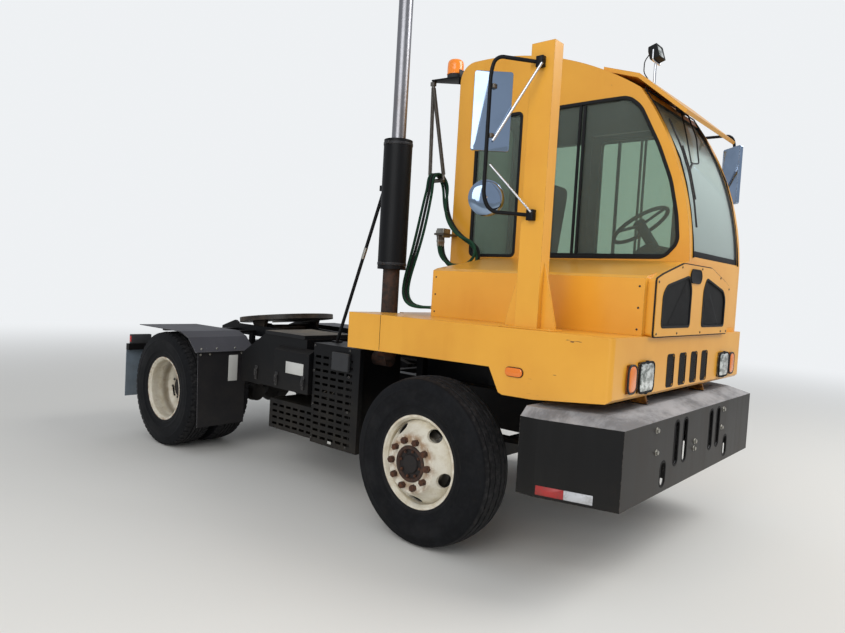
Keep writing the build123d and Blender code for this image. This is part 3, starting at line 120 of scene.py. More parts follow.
class Graph:
    def __init__(self, name):
        self.material = bpy.data.materials.new(name)
        self.material.use_nodes = True
        self.tree = self.material.node_tree
        self.shader = self.tree.nodes["Principled BSDF"]
        self.place = self.add("ShaderNodeTexCoord", out="Object")

    def put(self, socket, value):
        if isinstance(value, Value):
            self.tree.links.new(value.socket, socket)
        else:
            socket.default_value = value

    def add(self, kind, settings=None, inputs=None, out=0):
        node = self.tree.nodes.new(kind)
        for key, value in (settings or {}).items():
            setattr(node, key, value)
        for key, value in (inputs or {}).items():
            self.put(node.inputs[key], value)
        return Value(self, node.outputs[out])

    def noise(self, scale, detail=3, rough=0.55, stretch=None):
        where = self.place
        if stretch:
            where = self.add("ShaderNodeMapping", {}, {"Vector": self.place, "Scale": stretch})
        return self.add("ShaderNodeTexNoise", {}, {"Vector": where, "Scale": scale, "Detail": detail,
                                                   "Roughness": rough})

    def cells(self, scale):
        return self.add("ShaderNodeTexVoronoi", {}, {"Vector": self.place, "Scale": scale}, "Distance")

    def axis(self, name):
        return self.add("ShaderNodeSeparateXYZ", {}, {"Vector": self.place}, name)

    def facing(self, name):  # how far a face looks along an axis
        normal = self.add("ShaderNodeNewGeometry", out="Normal")
        return self.add("ShaderNodeSeparateXYZ", {}, {"Vector": normal}, name)

    def vectors(self, operation, first, second=None, out=0):
        inputs = {0: first} if second is None else {0: first, 1: second}
        return self.add("ShaderNodeVectorMath", {"operation": operation}, inputs, out)

    def mix(self, share, first, second):
        return self.add("ShaderNodeMix", {"data_type": "RGBA"}, {0: share, 6: first, 7: second}, 2)

    def rounded(self, radius):
        return self.add("ShaderNodeBevel", {"samples": 4}, {"Radius": radius})

    def edges(self, width):  # 1 on corners of the mesh, 0 on its flats
        flat = self.add("ShaderNodeNewGeometry", out="Normal")
        return (1 - self.vectors("DOT_PRODUCT", self.rounded(width), flat, "Value")).step(0.01, 0.25)

    def bump(self, height, strength, distance, soft=0):  # soft rounds the mesh's corners by that radius
        inputs = {"Height": height, "Strength": strength, "Distance": distance}
        if soft:
            inputs["Normal"] = self.rounded(soft)
        return self.add("ShaderNodeBump", {}, inputs)

    def finish(self, **sockets):
        names = {"colour": "Base Color", "rough": "Roughness", "metal": "Metallic", "normal": "Normal",
                 "coat": "Coat Weight", "coatRough": "Coat Roughness", "glow": "Emission Color",
                 "glowPower": "Emission Strength", "specular": "Specular IOR Level"}
        for key, value in sockets.items():
            self.put(self.shader.inputs[names[key]], value)
        return self.material

    def blendWith(self, other, share, slot):  # another shader in slot 1 or 2 of a mix, the main one in the other
        blend = self.add("ShaderNodeMixShader", {}, {0: share, slot: other})
        self.tree.links.new(self.shader.outputs[0], blend.socket.node.inputs[3 - slot])
        self.tree.links.new(blend.socket, self.tree.nodes["Material Output"].inputs["Surface"])
        return self.material


def rgb(red, green, blue):  # screen colour, 0 to 255, to the linear one that shaders take
    return tuple(((c / 255 + 0.055) / 1.055) ** 2.4 if c > 10 else c / 3295 for c in (red, green, blue)) + (1,)


dustColour = rgb(176, 160, 134)


def dusty(g, colour, rough, amount, top=1.3, up=0.35):  # road dust: heavier low down and on faces that look up
    low = 1 - g.axis("Z").step(0.1, top)
    flat = g.facing("Z").step(0.5, 0.98) * up
    patches = g.noise(5, 5, 0.65).step(0.35, 0.75)
    fine = g.noise(60, 3, 0.6).step(0.3, 0.8)
    share = ((low * 0.7 + flat) * (0.35 + 0.65 * patches) * (0.6 + 0.4 * fine) * amount).clamp()
    return g.mix(share, colour, dustColour), (rough + share * 0.35).clamp()


def paint(name, colour, dark, rough, dust, wear, bare, top=1.3, coat=0.35, shine=0.5, up=0.35, scratched=None,
          front=None, insideShadeCentre=None):
    g = Graph(name)
    clouds = g.noise(1.4, 4, 0.6).step(0.3, 0.75)
    streaks = g.noise(9, 4, 0.6, stretch=(1, 1, 0.12)).step(0.5, 0.85)
    tone = g.mix(clouds * 0.6 + streaks * 0.25, rgb(*colour), rgb(*dark))
    chips = g.edges(0.006) * g.noise(45, 4, 0.7).step(0.5 - wear * 0.2, 0.62 - wear * 0.2)
    spots = g.noise(26, 3, 0.5).step(0.76, 0.8)
    worn = (chips * wear * 2 + spots * wear).clamp()
    if scratched:  # short level scrapes on the right skirt below the post
        span = g.axis("X").step(*scratched[0]) * (1 - g.axis("X").step(*scratched[1]))
        flank = (1 - g.axis("Y").step(-1.095, -1.09)) * (1 - g.axis("Z").step(1.37, 1.38))
        worn = (worn + g.noise(11, 3, 0.5, stretch=(0.35, 1, 3.4)).step(0.655, 0.67) * span * flank).clamp()
    tone = g.mix(worn, tone, rgb(*bare))
    if front:  # painted shade: a darker colour on faces that look ahead
        tone = g.mix(g.facing("X").step(0.8, 0.95), tone, rgb(*front))
    if insideShadeCentre:  # painted shade: near-black on faces that look at the cab's middle, inside the cab
        outward = g.vectors("SUBTRACT", g.place, insideShadeCentre)
        away = g.vectors("DOT_PRODUCT", g.add("ShaderNodeTexCoord", out="Normal"), outward, "Value")
        tone = g.mix(1 - away.step(-0.12, -0.08), tone, rgb(34, 35, 37))
    tone, shade = dusty(g, tone, rough + clouds * 0.08 + worn * 0.35, dust, top, up)
    height = g.noise(180, 2, 0.5) * 0.25 + worn * -0.6
    return g.finish(colour=tone, rough=shade, normal=g.bump(height, 0.25, 0.0015, 0.004), coat=coat,
                    coatRough=0.2, specular=shine)


def tintedGlass(name, tint):
    g = Graph(name)
    smear = g.noise(3, 4, 0.6).step(0.4, 0.8)
    clear = g.add("ShaderNodeBsdfTransparent", {}, {"Color": tint + (1,)})
    g.finish(colour=tint + (1,), rough=0.03 + smear * 0.05, specular=0.6)
    share = g.add("ShaderNodeFresnel", {}, {"IOR": 1.5}) * 0.9 + 0.05 + smear * 0.02
    return g.blendWith(clear, share, 1)


def rubber(name, colour, dust):
    g = Graph(name)
    worn = g.noise(7, 4, 0.6).step(0.3, 0.8)
    colour = rgb(*colour)
    tone = g.mix(worn * 0.5, colour, tuple(min(1, c * 1.7) for c in colour[:3]) + (1,))
    tone, shade = dusty(g, tone, 0.62 + worn * 0.1, dust, 1.1)
    return g.finish(colour=tone, rough=shade, specular=0.22, normal=g.bump(g.noise(140, 3, 0.6), 0.3, 0.001, 0.003))


def metal(name, colour, rough, grime):
    g = Graph(name)
    rub = g.noise(16, 4, 0.6, stretch=(1, 1, 6)).step(0.3, 0.8)
    stain = g.noise(3, 5, 0.65).step(0.5, 0.8) * grime
    return g.finish(colour=g.mix(stain, rgb(*colour), rgb(92, 72, 54)), rough=rough + rub * 0.08 + stain * 0.4,
                    metal=1 - stain * 0.5, normal=g.bump(rub, 0.05, 0.0005, 0.002))


def lens(name, colour, glow):
    g = Graph(name)
    ribs = g.cells(70)
    return g.finish(colour=colour, rough=0.12 + ribs * 0.1, glow=colour, glowPower=glow * 0.3, coat=0.6,
                    coatRough=0.05, normal=g.bump(ribs, 0.3, 0.001, 0.003))


def headlampGlass(name):  # lens with its reflector painted in: fine upright ribs, bright patches of painted reflection, darker glass between them
    g = Graph(name)
    ribs = (g.axis("Y") * 420).wave()
    patches = g.noise(17, 3, 0.6, stretch=(1, 1, 1.6)).step(0.4, 0.62)
    # the pale patches are painted reflection of the reflector behind the lens
    return g.finish(colour=g.mix(patches, rgb(96, 104, 98), rgb(226, 230, 226)), rough=0.08 + ribs * 0.08,
                    metal=0.35, coat=0.8, coatRough=0.03, normal=g.bump(ribs, 0.35, 0.001, 0.003))


def mirrorFace(name):
    g = Graph(name)
    film = g.noise(4, 4, 0.6).step(0.4, 0.8)
    return g.finish(colour=g.mix(film * 0.5, rgb(150, 170, 196), rgb(120, 138, 160)), rough=0.04 + film * 0.06,
                    metal=1.0, normal=g.bump(film, 0.02, 0.0005))


def cabFloor(name):  # studded mat inside, body colour on the sill that shows ahead of the cab
    g = Graph(name)
    sill = g.axis("X").step(frontAxle.x + 1.085, frontAxle.x + 1.09)
    studs = g.cells(34).step(0.2, 0.35)
    tone = g.mix(g.noise(6, 4, 0.6).step(0.4, 0.7) * 0.6, rgb(36, 37, 39), rgb(88, 82, 74))
    return g.finish(colour=g.mix(sill, tone, rgb(232, 164, 50)), rough=0.7 - sill * 0.3, specular=0.3,
                    normal=g.bump(studs * (1 - sill), 0.4, 0.002, 0.003))


def fromAxle(g, behind):  # distance from an axle, in metres
    across = g.axis("X") - (frontAxle.x + behind)
    up = g.axis("Z") - frontAxle.z
    return (across * across + up * up) ** 0.5


def tyreRubber(name, behind):  # dust on the tread and in the sidewall's rings
    g = Graph(name)
    away = fromAxle(g, behind)
    worn = g.noise(9, 5, 0.65).step(0.35, 0.75)
    tone = g.mix(worn * 0.5, rgb(12, 13, 16), rgb(22, 24, 28))
    tread = away.step(0.5065, 0.511)
    scuff = (1 - (away - 0.405).size().step(0.02, 0.06)) * g.noise(5, 4, 0.6, stretch=(1, 3, 1)).step(0.4, 0.7)
    grit = g.noise(34, 4, 0.7).step(0.42, 0.7)
    share = (tread * (0.14 + 0.3 * grit) + scuff * 0.12 + grit * 0.05 + (1 - away.step(0.29, 0.33)) * 0.1).clamp()
    height = g.noise(150, 3, 0.6) * 0.4 + g.noise(30, 2, 0.5) * 0.3
    return g.finish(colour=g.mix(share, tone, rgb(76, 74, 74)), specular=0.14, rough=0.62 + share * 0.25,
                    normal=g.bump(height, 0.35, 0.0012, 0.003))


def wheelCream(name, behind, hub, faceY, stain, insideShadeY, hubColour):  # rust on hub and nuts, runs round them, grime; painted shade inside the rim and in bands deeper in the dish
    g = Graph(name)
    away = fromAxle(g, behind)
    depth = g.axis("Y").size()
    cloud = g.noise(14, 5, 0.65)
    tone = g.mix(cloud.step(0.35, 0.75), rgb(226, 220, 204), rgb(206, 196, 172))
    ring = (1 - (away - 0.15).size().step(0.012, 0.05)) * cloud.step(0.36, 0.62)
    rim = (away.step(0.268, 0.292) * 0.7 + away.step(0.225, 0.3) * 0.25) * g.noise(22, 4, 0.7).step(0.4, 0.66)
    drips = g.noise(26, 4, 0.7, stretch=(1, 1, 0.3)).step(0.56, 0.72)
    share = (ring * 0.75 + rim * stain * 1.4 + drips * stain * 0.5).clamp()
    tone = g.mix(share, tone, rgb(142, 98, 58))
    nuts = (depth.step(faceY, faceY + 0.001) * (1 - away.step(0.172, 0.176))).clamp()
    hubPart = 1 - away.step(hub - 0.002, hub + 0.001)
    rust = (nuts + hubPart).clamp()
    brown = g.mix(g.noise(40, 5, 0.7).step(0.35, 0.7), rgb(58, 38, 28), rgb(96, 60, 38))
    capPart = 1 - away.step(0.084, 0.088)
    tone = g.mix(rust, tone, g.mix(hubPart * 0.45 + capPart * 0.5, brown, rgb(*hubColour)))
    # painted shade: near-black on the wheel's inner side, deeper than the given depth
    inside = (1 - depth.step(insideShadeY, insideShadeY + 0.02)) * away.step(0.15, 0.17)
    tone = g.mix(inside * 0.93, tone, rgb(24, 22, 20))
    # brown-grey bands deeper in the dish: a dirt tone with painted shade
    bands = (depth * 60 + cloud).wave() * (1 - depth.step(1.05, 1.21)) * away.step(0.12, 0.16)
    tone = g.mix(bands * stain * stain * (1 - rust), tone, rgb(104, 88, 68))
    tone = g.mix(g.noise(70, 4, 0.7).step(0.5, 0.8) * 0.2 * (1 - rust), tone, dustColour)
    rough = 0.38 + share * 0.3 + rust * 0.4
    height = g.noise(120, 3, 0.6) * (rust * 0.9 + 0.1) + away.step(0.186, 0.196) * -2
    return g.finish(colour=tone, rough=rough.clamp(), normal=g.bump(height, 0.35, 0.001, 0.003), coat=0.1)


def bumperSteel(name):  # painted highlight on the top, with scuffs; painted light on the face, with streaks; near-black flanks; brown hangers
    g = Graph(name)
    top = g.facing("Z").step(0.25, 0.6)
    face = g.facing("X").step(0.75, 0.97)
    streak = g.noise(7, 5, 0.65, stretch=(1, 1, 0.1)).step(0.35, 0.8)
    scuff = g.noise(3.5, 6, 0.72, stretch=(1.6, 0.7, 1)).step(0.36, 0.66)
    hanger = g.axis("Z").step(0.984, 0.988)
    tone = g.mix(streak, rgb(11, 11, 12), rgb(19, 19, 20))
    # painted light: faces that look ahead are paler, streaked
    tone = g.mix(face * (0.3 + 0.7 * streak), tone, rgb(58, 54, 51))
    # painted highlight: faces that look up are much paler, patchy where scuffed
    tone = g.mix(top * (0.45 + 0.55 * scuff), tone, rgb(176, 175, 176))
    chips = g.edges(0.006) * g.noise(45, 4, 0.7).step(0.46, 0.6)
    tone = g.mix(chips * 0.8, tone, rgb(128, 120, 112))
    tone = g.mix(hanger, tone, g.mix(g.noise(24, 4, 0.7).step(0.4, 0.6), rgb(170, 112, 40), rgb(86, 52, 30)))
    tone, rough = dusty(g, tone, 0.4 + streak * 0.15 + top * 0.1, 0.1, 0.8, 0.1)
    height = g.noise(170, 2, 0.5) + scuff * top
    return g.finish(colour=tone, specular=0.22, rough=rough, normal=g.bump(height, 0.18, 0.001, 0.004))


def stackSteel(name):  # brown and rusted below the shield, stained steel above it
    g = Graph(name)
    high = g.axis("Z").step(1.74, 1.80)
    rub = g.noise(16, 4, 0.6, stretch=(1, 1, 5)).step(0.3, 0.8)
    deep = g.noise(22, 5, 0.7).step(0.35, 0.7)
    burnt = g.noise(4, 4, 0.6, stretch=(1, 1, 0.4)).step(0.45, 0.75)
    brown = g.mix(deep, rgb(34, 27, 24), rgb(70, 46, 34))
    bright = g.mix(burnt * 0.6, rgb(142, 142, 146), rgb(112, 102, 94))
    return g.finish(colour=g.mix(high, brown, bright), rough=0.28 + rub * 0.1 + (1 - high) * 0.45,
                    metal=high * 0.95, normal=g.bump(rub + deep * (1 - high), 0.12, 0.0008, 0.002))


def greased(name):  # black grease with a rim rubbed bright
    g = Graph(name)
    smears = g.noise(6, 5, 0.7).step(0.35, 0.7)
    tone = g.mix(smears, rgb(30, 26, 23), rgb(74, 62, 50))
    rubbed = g.edges(0.008) * g.noise(14, 3, 0.6).step(0.35, 0.6)
    return g.finish(colour=g.mix(rubbed, tone, rgb(140, 134, 126)), rough=0.34 + smears * 0.25,
                    metal=rubbed * 0.8, specular=0.4, normal=g.bump(smears, 0.2, 0.001, 0.003))


def rusty(name):
    g = Graph(name)
    deep = g.noise(30, 5, 0.7).step(0.3, 0.75)
    tone = g.mix(deep, rgb(58, 35, 26), rgb(100, 61, 38))
    tone = g.mix(g.noise(90, 3, 0.6).step(0.6, 0.8) * 0.6, tone, rgb(34, 24, 20))
    return g.finish(colour=tone, rough=0.75 + deep * 0.15, metal=0.15,
                    normal=g.bump(g.noise(160, 4, 0.7), 0.5, 0.001, 0.0015))


# Finishes. Rows of paint: colour, its darker clouds, roughness, dust, wear, colour below it, reach of the dust, coat,
# shine
yellowPaint = ((238, 172, 54), (222, 150, 36), 0.30, 0.28, 0.22, (96, 58, 34))
scrapes = tuple((frontAxle.x + low, frontAxle.x + high) for low, high in ((0.66, 0.74), (0.98, 1.02)))
materials = {
    "yellow": paint("yellowEnamel", *yellowPaint, scratched=scrapes),
    # the cab's panels get painted shade on their faces inside the cab
    "cabYellow": paint("cabEnamel", *yellowPaint, insideShadeCentre=(frontAxle.x + 0.15, 0.52, 2.2)),
    "black": paint("blackChassis", (15, 16, 19), (10, 11, 13), 0.42, 0.12, 0.2, (60, 46, 38), 1.1, 0.02, 0.18),
    "lid": paint("dustyLid", (26, 27, 30), (18, 19, 22), 0.45, 0.9, 0.3, (96, 90, 84), 0.2, 0, 0.25, up=0.75),
    "bumper": bumperSteel("bumperSteel"),
    # the rear fenders' faces that look ahead, the splash panels, get painted shade
    "fender": paint("fenderSteel", (68, 68, 75), (52, 52, 58), 0.46, 0.08, 0.4, (150, 148, 144), 1.4, 0, 0.35,
                    front=(26, 26, 30)),
    "frontCream": wheelCream("frontWheelCream", 0, 0.112, 1.2775, 0.35, 1.15, (15, 12, 12)),
    "rearCream": wheelCream("rearWheelCream", axleGap, 0.122, 1.5, 0.8, 0.90, (15, 14, 14)),
    "lowerStack": stackSteel("stackSteel"),
    "glass": tintedGlass("tintedGlass", (0.70, 0.78, 0.72)),
    "clearGlass": tintedGlass("clearGlass", (0.84, 0.90, 0.88)),
    "flap": rubber("flapRubber", (104, 116, 126), 0.3),
    "hoseBlack": rubber("hoseBlack", (30, 32, 32), 0.3),
    "hoseGreen": rubber("hoseGreen", (24, 62, 44), 0.3),
    "chrome": metal("polishedSteel", (214, 216, 220), 0.08, 0.04),
    "steel": metal("bareSteel", (120, 116, 110), 0.45, 0.25),
    "coupler": greased("couplerGrease"),
    # near-black plate of the cover's mesh: painted shade behind the wire
    "mesh": rubber("meshShadeBlack", (28, 28, 30), 0.3),
    "amber": lens("amberLens", (0.80, 0.19, 0.008, 1), 0.2),
    "lampGlass": headlampGlass("lampGlass"),
    "cloth": rubber("seatCloth", (44, 44, 47), 0.2),
    "plastic": rubber("cabMoulding", (52, 53, 55), 0.2),
    "redLens": lens("redLens", (0.55, 0.012, 0.01, 1), 0.1),
    "amberClear": lens("beaconAmber", (1.0, 0.27, 0.01, 1), 0.5),
    "mirrorFace": mirrorFace("mirrorFace"),
    "whitePlate": paint("blankPlate", (208, 208, 204), (184, 184, 178), 0.45, 0.4, 0.2, (120, 112, 100), 1.2, 0),
    "redTape": paint("redTape", (176, 30, 34), (150, 24, 28), 0.35, 0.3, 0.2, (90, 60, 54), 1.0, 0),
    "whiteTape": paint("whiteTape", (202, 204, 208), (180, 182, 186), 0.35, 0.3, 0.2, (120, 112, 100), 1.0, 0),
    "floorMat": cabFloor("cabFloor"),
    "seal": rubber("sealRubber", (24, 25, 27), 0.15),
    "wire": paint("meshWire", (46, 48, 52), (32, 33, 36), 0.5, 0.5, 0.1, (80, 70, 60), 1.6, 0),
    # near-black sheets that stand for the shade behind meshes and in openings, and the skirt's dark seam
    "shadeAndSeam": rubber("shadeAndSeamBlack", (12, 12, 13), 0.05),
    "darkSteel": paint("darkSteel", (40, 41, 45), (28, 29, 32), 0.42, 0.2, 0.4, (128, 124, 118), 1.2, 0, 0.3),
    "zinc": metal("zincBolt", (168, 166, 158), 0.36, 0.35),
    "rust": rusty("rustedSteel"),
    "frontRubber": tyreRubber("frontTyreRubber", 0),
    "rearRubber": tyreRubber("rearTyreRubber", axleGap),
}

# Which finish each node of the frame gets
finishOf = {
    "yellow": ("lower_body", "engine_hood", "front_cover", "mirror_post", "sun_visor"),
    "cabYellow": ("cab_side_right", "cab_side_left", "cab_rear_wall", "cab_roof", "cab_front", "left_door",
                  "rear_door"),
    "lid": ("battery_lid",),
    "black": ("frame_rails", "front_axle", "rear_axle", "engine_block", "mirror_frames", "battery_box",
              "fuel_tank", "left_steps", "guard_panel", "heat_shield", "knuckle_right", "knuckle_left", "tie_rod",
              "lift_boom", "boom_ties", "lift_barrels", "beacon"),
    "bumper": ("front_bumper",),
    "fender": ("rear_fenders",),
    "frontCream": ("front_wheel_right", "front_wheel_left"),
    "rearCream": ("rear_wheels_right", "rear_wheels_left"),
    "glass": ("side_glass", "left_door_glass", "rear_door_glass"),
    "clearGlass": ("windscreen_glass",),
    "frontRubber": ("front_tyre_right", "front_tyre_left"),
    "rearRubber": ("rear_tyres_right", "rear_tyres_left"),
    "flap": ("mud_flaps",),
    "chrome": ("mirror_heads", "lift_rods"),
    "lowerStack": ("exhaust_pipe",),
    "steel": ("hose_supports",),
    "coupler": ("fifth_wheel",),
    "mesh": ("cover_mesh",),
    "amber": ("signal_lamps",),
    "lampGlass": ("headlamps",),
    "cloth": ("seat_cushions",),
    "plastic": ("dashboard", "steering_wheel"),
    "floorMat": ("cab_floor",),
}
for finish, names in finishOf.items():
    for name in names:
        nodes[name].data.materials.clear()
        nodes[name].data.materials.append(materials[finish])
print("materials", len(materials))


# Hoses: the middle one's route in millimetres from the front axle, repeated from the model
hoseSet = {
    "radius": 0.011,
    "route": [(-425, -575, 1440), (-505, -575, 1440), (-605, -579, 1434), (-700, -580, 1450), (-765, -566, 1508),
              (-792, -536, 1598), (-806, -490, 1705), (-830, -412, 1850), (-860, -330, 2012), (-890, -258, 2165),
              (-918, -196, 2300), (-938, -157, 2370), (-952, -136, 2428), (-960, -118, 2482), (-965, -71, 2515),
              (-966, -13, 2515), (-961, 36, 2482), (-948, 58, 2428), (-922, 46, 2364), (-882, 8, 2294),
              (-828, -40, 2212), (-755, -80, 2120), (-672, -100, 2038), (-583, -109, 1978), (-494, -114, 1945),
              (-435, -116, 1886), (-435, -118, 1804), (-494, -118, 1745), (-585, -116, 1737), (-680, -113, 1758),
              (-762, -111, 1812), (-803, -110, 1888), (-808, -110, 1965)],
    "riseStart": 5, "riseEnd": 12, "humpEnd": 16, "loopStart": 22, "loopEnd": 31,
    # name, shift along X, shift outwards beside the saddle, extra depth of the loop, real length, finish
    "hoses": (("supply_hose", 0, 0, 0, 3.074, "hoseBlack"), ("service_hose", -27, -27, 32, 3.145, "hoseGreen"),
              ("power_cable", 27, -54, -38, 3.028, "hoseGreen")),
}


def partWay(index, start, end):  # 0 before start, 1 after end
    return min(1, max(0, (index - start) / (end - start)))


def eased(index, start, end):
    part = partWay(index, start, end)
    return part * part * (3 - 2 * part)


def hosePoints(h, along, out, sag):
    points = []
    for index, (x, y, z) in enumerate(h["route"]):
        rise = pi / 2 * eased(index, h["riseStart"], h["riseEnd"])
        beside = pi / 2 * eased(index, h["humpEnd"], h["loopStart"])
        x += along * sin(rise) * cos(beside)
        y += along * cos(rise) + out * sin(beside)
        z -= sag * sin(pi * partWay(index, h["loopStart"], h["loopEnd"])) ** 2
        points.append(Vector((frontAxle.x + x / 1000, y / 1000, z / 1000)))
    return points


def makeHoses(h):
    for name, along, out, sag, length, finish in h["hoses"]:
        points = hosePoints(h, along, out, sag)
        data = bpy.data.curves.new(name + "Line", "CURVE")
        data.dimensions = "3D"
        spline = data.splines.new("NURBS")
        spline.points.add(len(points) - 1)
        for point, place in zip(spline.points, points):
            point.co = (*place, 1)
        spline.order_u = 3
        spline.use_endpoint_u = True
        spline.resolution_u = 8
        data.bevel_depth = h["radius"]
        data.bevel_resolution = 5
        data.use_fill_caps = True
        data.materials.append(materials[finish])
        hose = bpy.data.objects.new(name + "Tube", data)
        bpy.context.scene.collection.objects.link(hose)
        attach(hose, "chassis")
        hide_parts(name)


makeHoses(hoseSet)
print("hoses", len(hoseSet["hoses"]))


# Modelling steps that every piece uses. Places are in millimetres from the middle of the front axle
ahead, behind, leftward, rightward, upward = (1, 0, 0), (-1, 0, 0), (0, 1, 0), (0, -1, 0), (0, 0, 1)
sides = ((-1, "Right"), (1, "Left"))


def at(place):
    return Vector((frontAxle.x + place[0] / 1000, place[1] / 1000, place[2] / 1000))


def rectangle(a0, a1, b0, b1):
    return [(a0, b0), (a1, b0), (a1, b1), (a0, b1)]


def acrossX(x, outline):  # pairs of y and z, set at one x
    return [(x, y, z) for y, z in outline]


def acrossY(y, outline):  # pairs of x and z, set at one y
    return [(x, y, z) for x, z in outline]


def startFresh():
    if bpy.context.mode != "OBJECT":
        bpy.ops.object.mode_set(mode="OBJECT")
    bpy.ops.object.select_all(action="DESELECT")


def settle(name):  # the new primitive's place goes into its mesh
    piece = bpy.context.object
    piece.name = name
    bpy.ops.object.transform_apply(location=True, rotation=True, scale=True)
    return piece


def addBlock(name, low, high):
    startFresh()
    low, high = at(low), at(high)
    bpy.ops.mesh.primitive_cube_add(size=1, location=(low + high) / 2, scale=high - low)
    return settle(name)


def addRound(name, centre, facing, radius, length, sides):
    startFresh()
    turn = Vector(facing).to_track_quat("Z", "Y").to_euler()
    bpy.ops.mesh.primitive_cylinder_add(vertices=sides, radius=radius / 1000, depth=length / 1000,
                                        location=at(centre), rotation=turn)
    return settle(name)


def pickUp(*pieces):
    startFresh()
    for piece in pieces:
        piece.select_set(True)
    bpy.context.view_layer.objects.active = pieces[0]
    return pieces[0]


def edit(piece, everything=False):
    pickUp(piece)
    bpy.ops.object.mode_set(mode="EDIT")
    bpy.ops.mesh.select_all(action="SELECT" if everything else "DESELECT")


def choose(piece, part, test):  # selects the verts, edges or faces that pass the test
    bpy.ops.mesh.select_mode(type=part[:-1].upper())
    bpy.ops.mesh.select_all(action="DESELECT")
    shape = bmesh.from_edit_mesh(piece.data)
    for one in getattr(shape, part):
        if test(one):
            one.select_set(True)
    bmesh.update_edit_mesh(piece.data)


def applied(piece, name, kind, **settings):  # a modifier with its settings, applied
    pickUp(piece)
    step = piece.modifiers.new(name, kind)
    for key, value in settings.items():
        setattr(step, key, value)
    bpy.ops.object.modifier_apply(modifier=step.name)
    return piece


def workFace(piece, facing, *steps, extrude=False):  # steps: inset, then how far the face goes out, in mm
    edit(piece)
    out = Vector(facing)
    choose(piece, "faces", lambda f: f.normal.dot(out) > 0.9)
    for width, reach in steps:
        bpy.ops.mesh.inset(thickness=width / 1000)
        if reach and extrude:
            bpy.ops.mesh.extrude_region_move(TRANSFORM_OT_translate={"value": out * reach / 1000})
        elif reach:
            bpy.ops.transform.translate(value=out * reach / 1000)
    return piece


def addPad(name, low, high, facing, *steps, extrude=False):  # a block with one of its faces worked
    return workFace(addBlock(name, low, high), facing, *steps, extrude=extrude)


def drawLine(name, points, closed=False, roundness=0, steps=4):  # one vertex extruded from point to point
    startFresh()
    bpy.ops.mesh.primitive_plane_add(size=0.002, location=at(points[0]))
    piece = settle(name)
    edit(piece)
    bpy.ops.mesh.select_mode(type="VERT")
    bpy.ops.mesh.select_all(action="SELECT")
    bpy.ops.mesh.merge(type="CENTER")
    for first, second in zip(points, points[1:]):
        bpy.ops.mesh.extrude_region_move(TRANSFORM_OT_translate={"value": at(second) - at(first)})
    bpy.ops.mesh.select_all(action="SELECT")
    if closed:
        bpy.ops.mesh.edge_face_add()
    if roundness:
        if not closed:
            ends = [at(points[0]), at(points[-1])]
            choose(piece, "verts", lambda v: all((v.co - end).length > 1e-4 for end in ends))
        bpy.ops.mesh.bevel(affect="VERTICES", offset=roundness / 1000, segments=steps)
        bpy.ops.mesh.select_all(action="SELECT")
    return piece


def push(piece, facing, depth):  # the drawn face becomes a plate of that depth, in mm
    bpy.ops.mesh.select_all(action="SELECT")
    bpy.ops.mesh.extrude_region_move(TRANSFORM_OT_translate={"value": Vector(facing) * depth / 1000})
    bpy.ops.mesh.select_all(action="SELECT")
    bpy.ops.mesh.normals_make_consistent(inside=False)
    return piece


def addPlate(name, points, facing, depth, roundness=0, steps=4):
    return push(drawLine(name, points, True, roundness, steps), facing, depth)


def addRing(name, points, facing, depth, wide, roundness=0, steps=5):  # a frame of even width along an outline
    piece = drawLine(name, points, True, roundness, steps)
    bpy.ops.mesh.select_mode(type="FACE")
    bpy.ops.mesh.select_all(action="SELECT")
    bpy.ops.mesh.inset(thickness=wide / 1000)
    bpy.ops.mesh.delete(type="FACE")
    return push(piece, facing, depth)


def addTube(name, points, radius, roundness=0, sides=3):  # a bent rod or pipe along a drawn line
    pickUp(drawLine(name, points, False, roundness, 5))
    bpy.ops.object.convert(target="CURVE")
    piece = bpy.context.object
    piece.data.bevel_depth = radius / 1000
    piece.data.bevel_resolution = sides
    piece.data.use_fill_caps = True
    bpy.ops.object.convert(target="MESH")
    piece = bpy.context.object
    piece.name = name
    return piece


def addTurned(name, profile, centre, steps, facing=upward):  # profile rows: radius, distance along the axis
    along = Vector(facing)
    side = Vector(upward) if abs(along.z) < 0.5 else Vector(ahead)
    points = [Vector(centre) + side * radius + along * reach for radius, reach in profile]
    piece = drawLine(name, points)
    bpy.ops.mesh.spin(steps=steps, angle=2 * pi, center=at(centre), axis=along)
    bpy.ops.mesh.select_all(action="SELECT")
    bpy.ops.mesh.remove_doubles(threshold=0.00002)
    bpy.ops.mesh.normals_make_consistent(inside=False)
    return piece


def band(inner, outer, low, tall):  # profile of a hoop
    return [(inner, low), (outer, low), (outer, low + tall), (inner, low + tall), (inner, low)]


def joinAll(name, pieces):
    whole = pickUp(*pieces)
    if len(pieces) > 1:
        bpy.ops.object.join()
    whole.name = name
    return whole


def copyOf(model, move):  # with its own mesh, moved
    twin = model.copy()
    twin.data = model.data.copy()
    twin.data.transform(move)
    bpy.context.scene.collection.objects.link(twin)
    return twin


def mirrored(piece, name):  # the same piece on the machine's other side
    twin = copyOf(piece, Matrix.Scale(-1, 4, leftward))
    twin.name = name
    edit(twin, True)
    bpy.ops.mesh.flip_normals()
    startFresh()
    return twin


def finishPiece(piece, finish, bevel=0, segments=2, smooth=35, stands=(), body="chassis"):
    if bevel:
        applied(piece, "softEdges", "BEVEL", width=bevel / 1000, segments=segments, limit_method="ANGLE",
                angle_limit=radians(40))
    pickUp(piece)
    bpy.ops.object.shade_smooth_by_angle(angle=radians(smooth))
    piece.data.materials.clear()
    piece.data.materials.append(materials[finish])
    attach(piece, body)
    if stands:
        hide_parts(*stands)


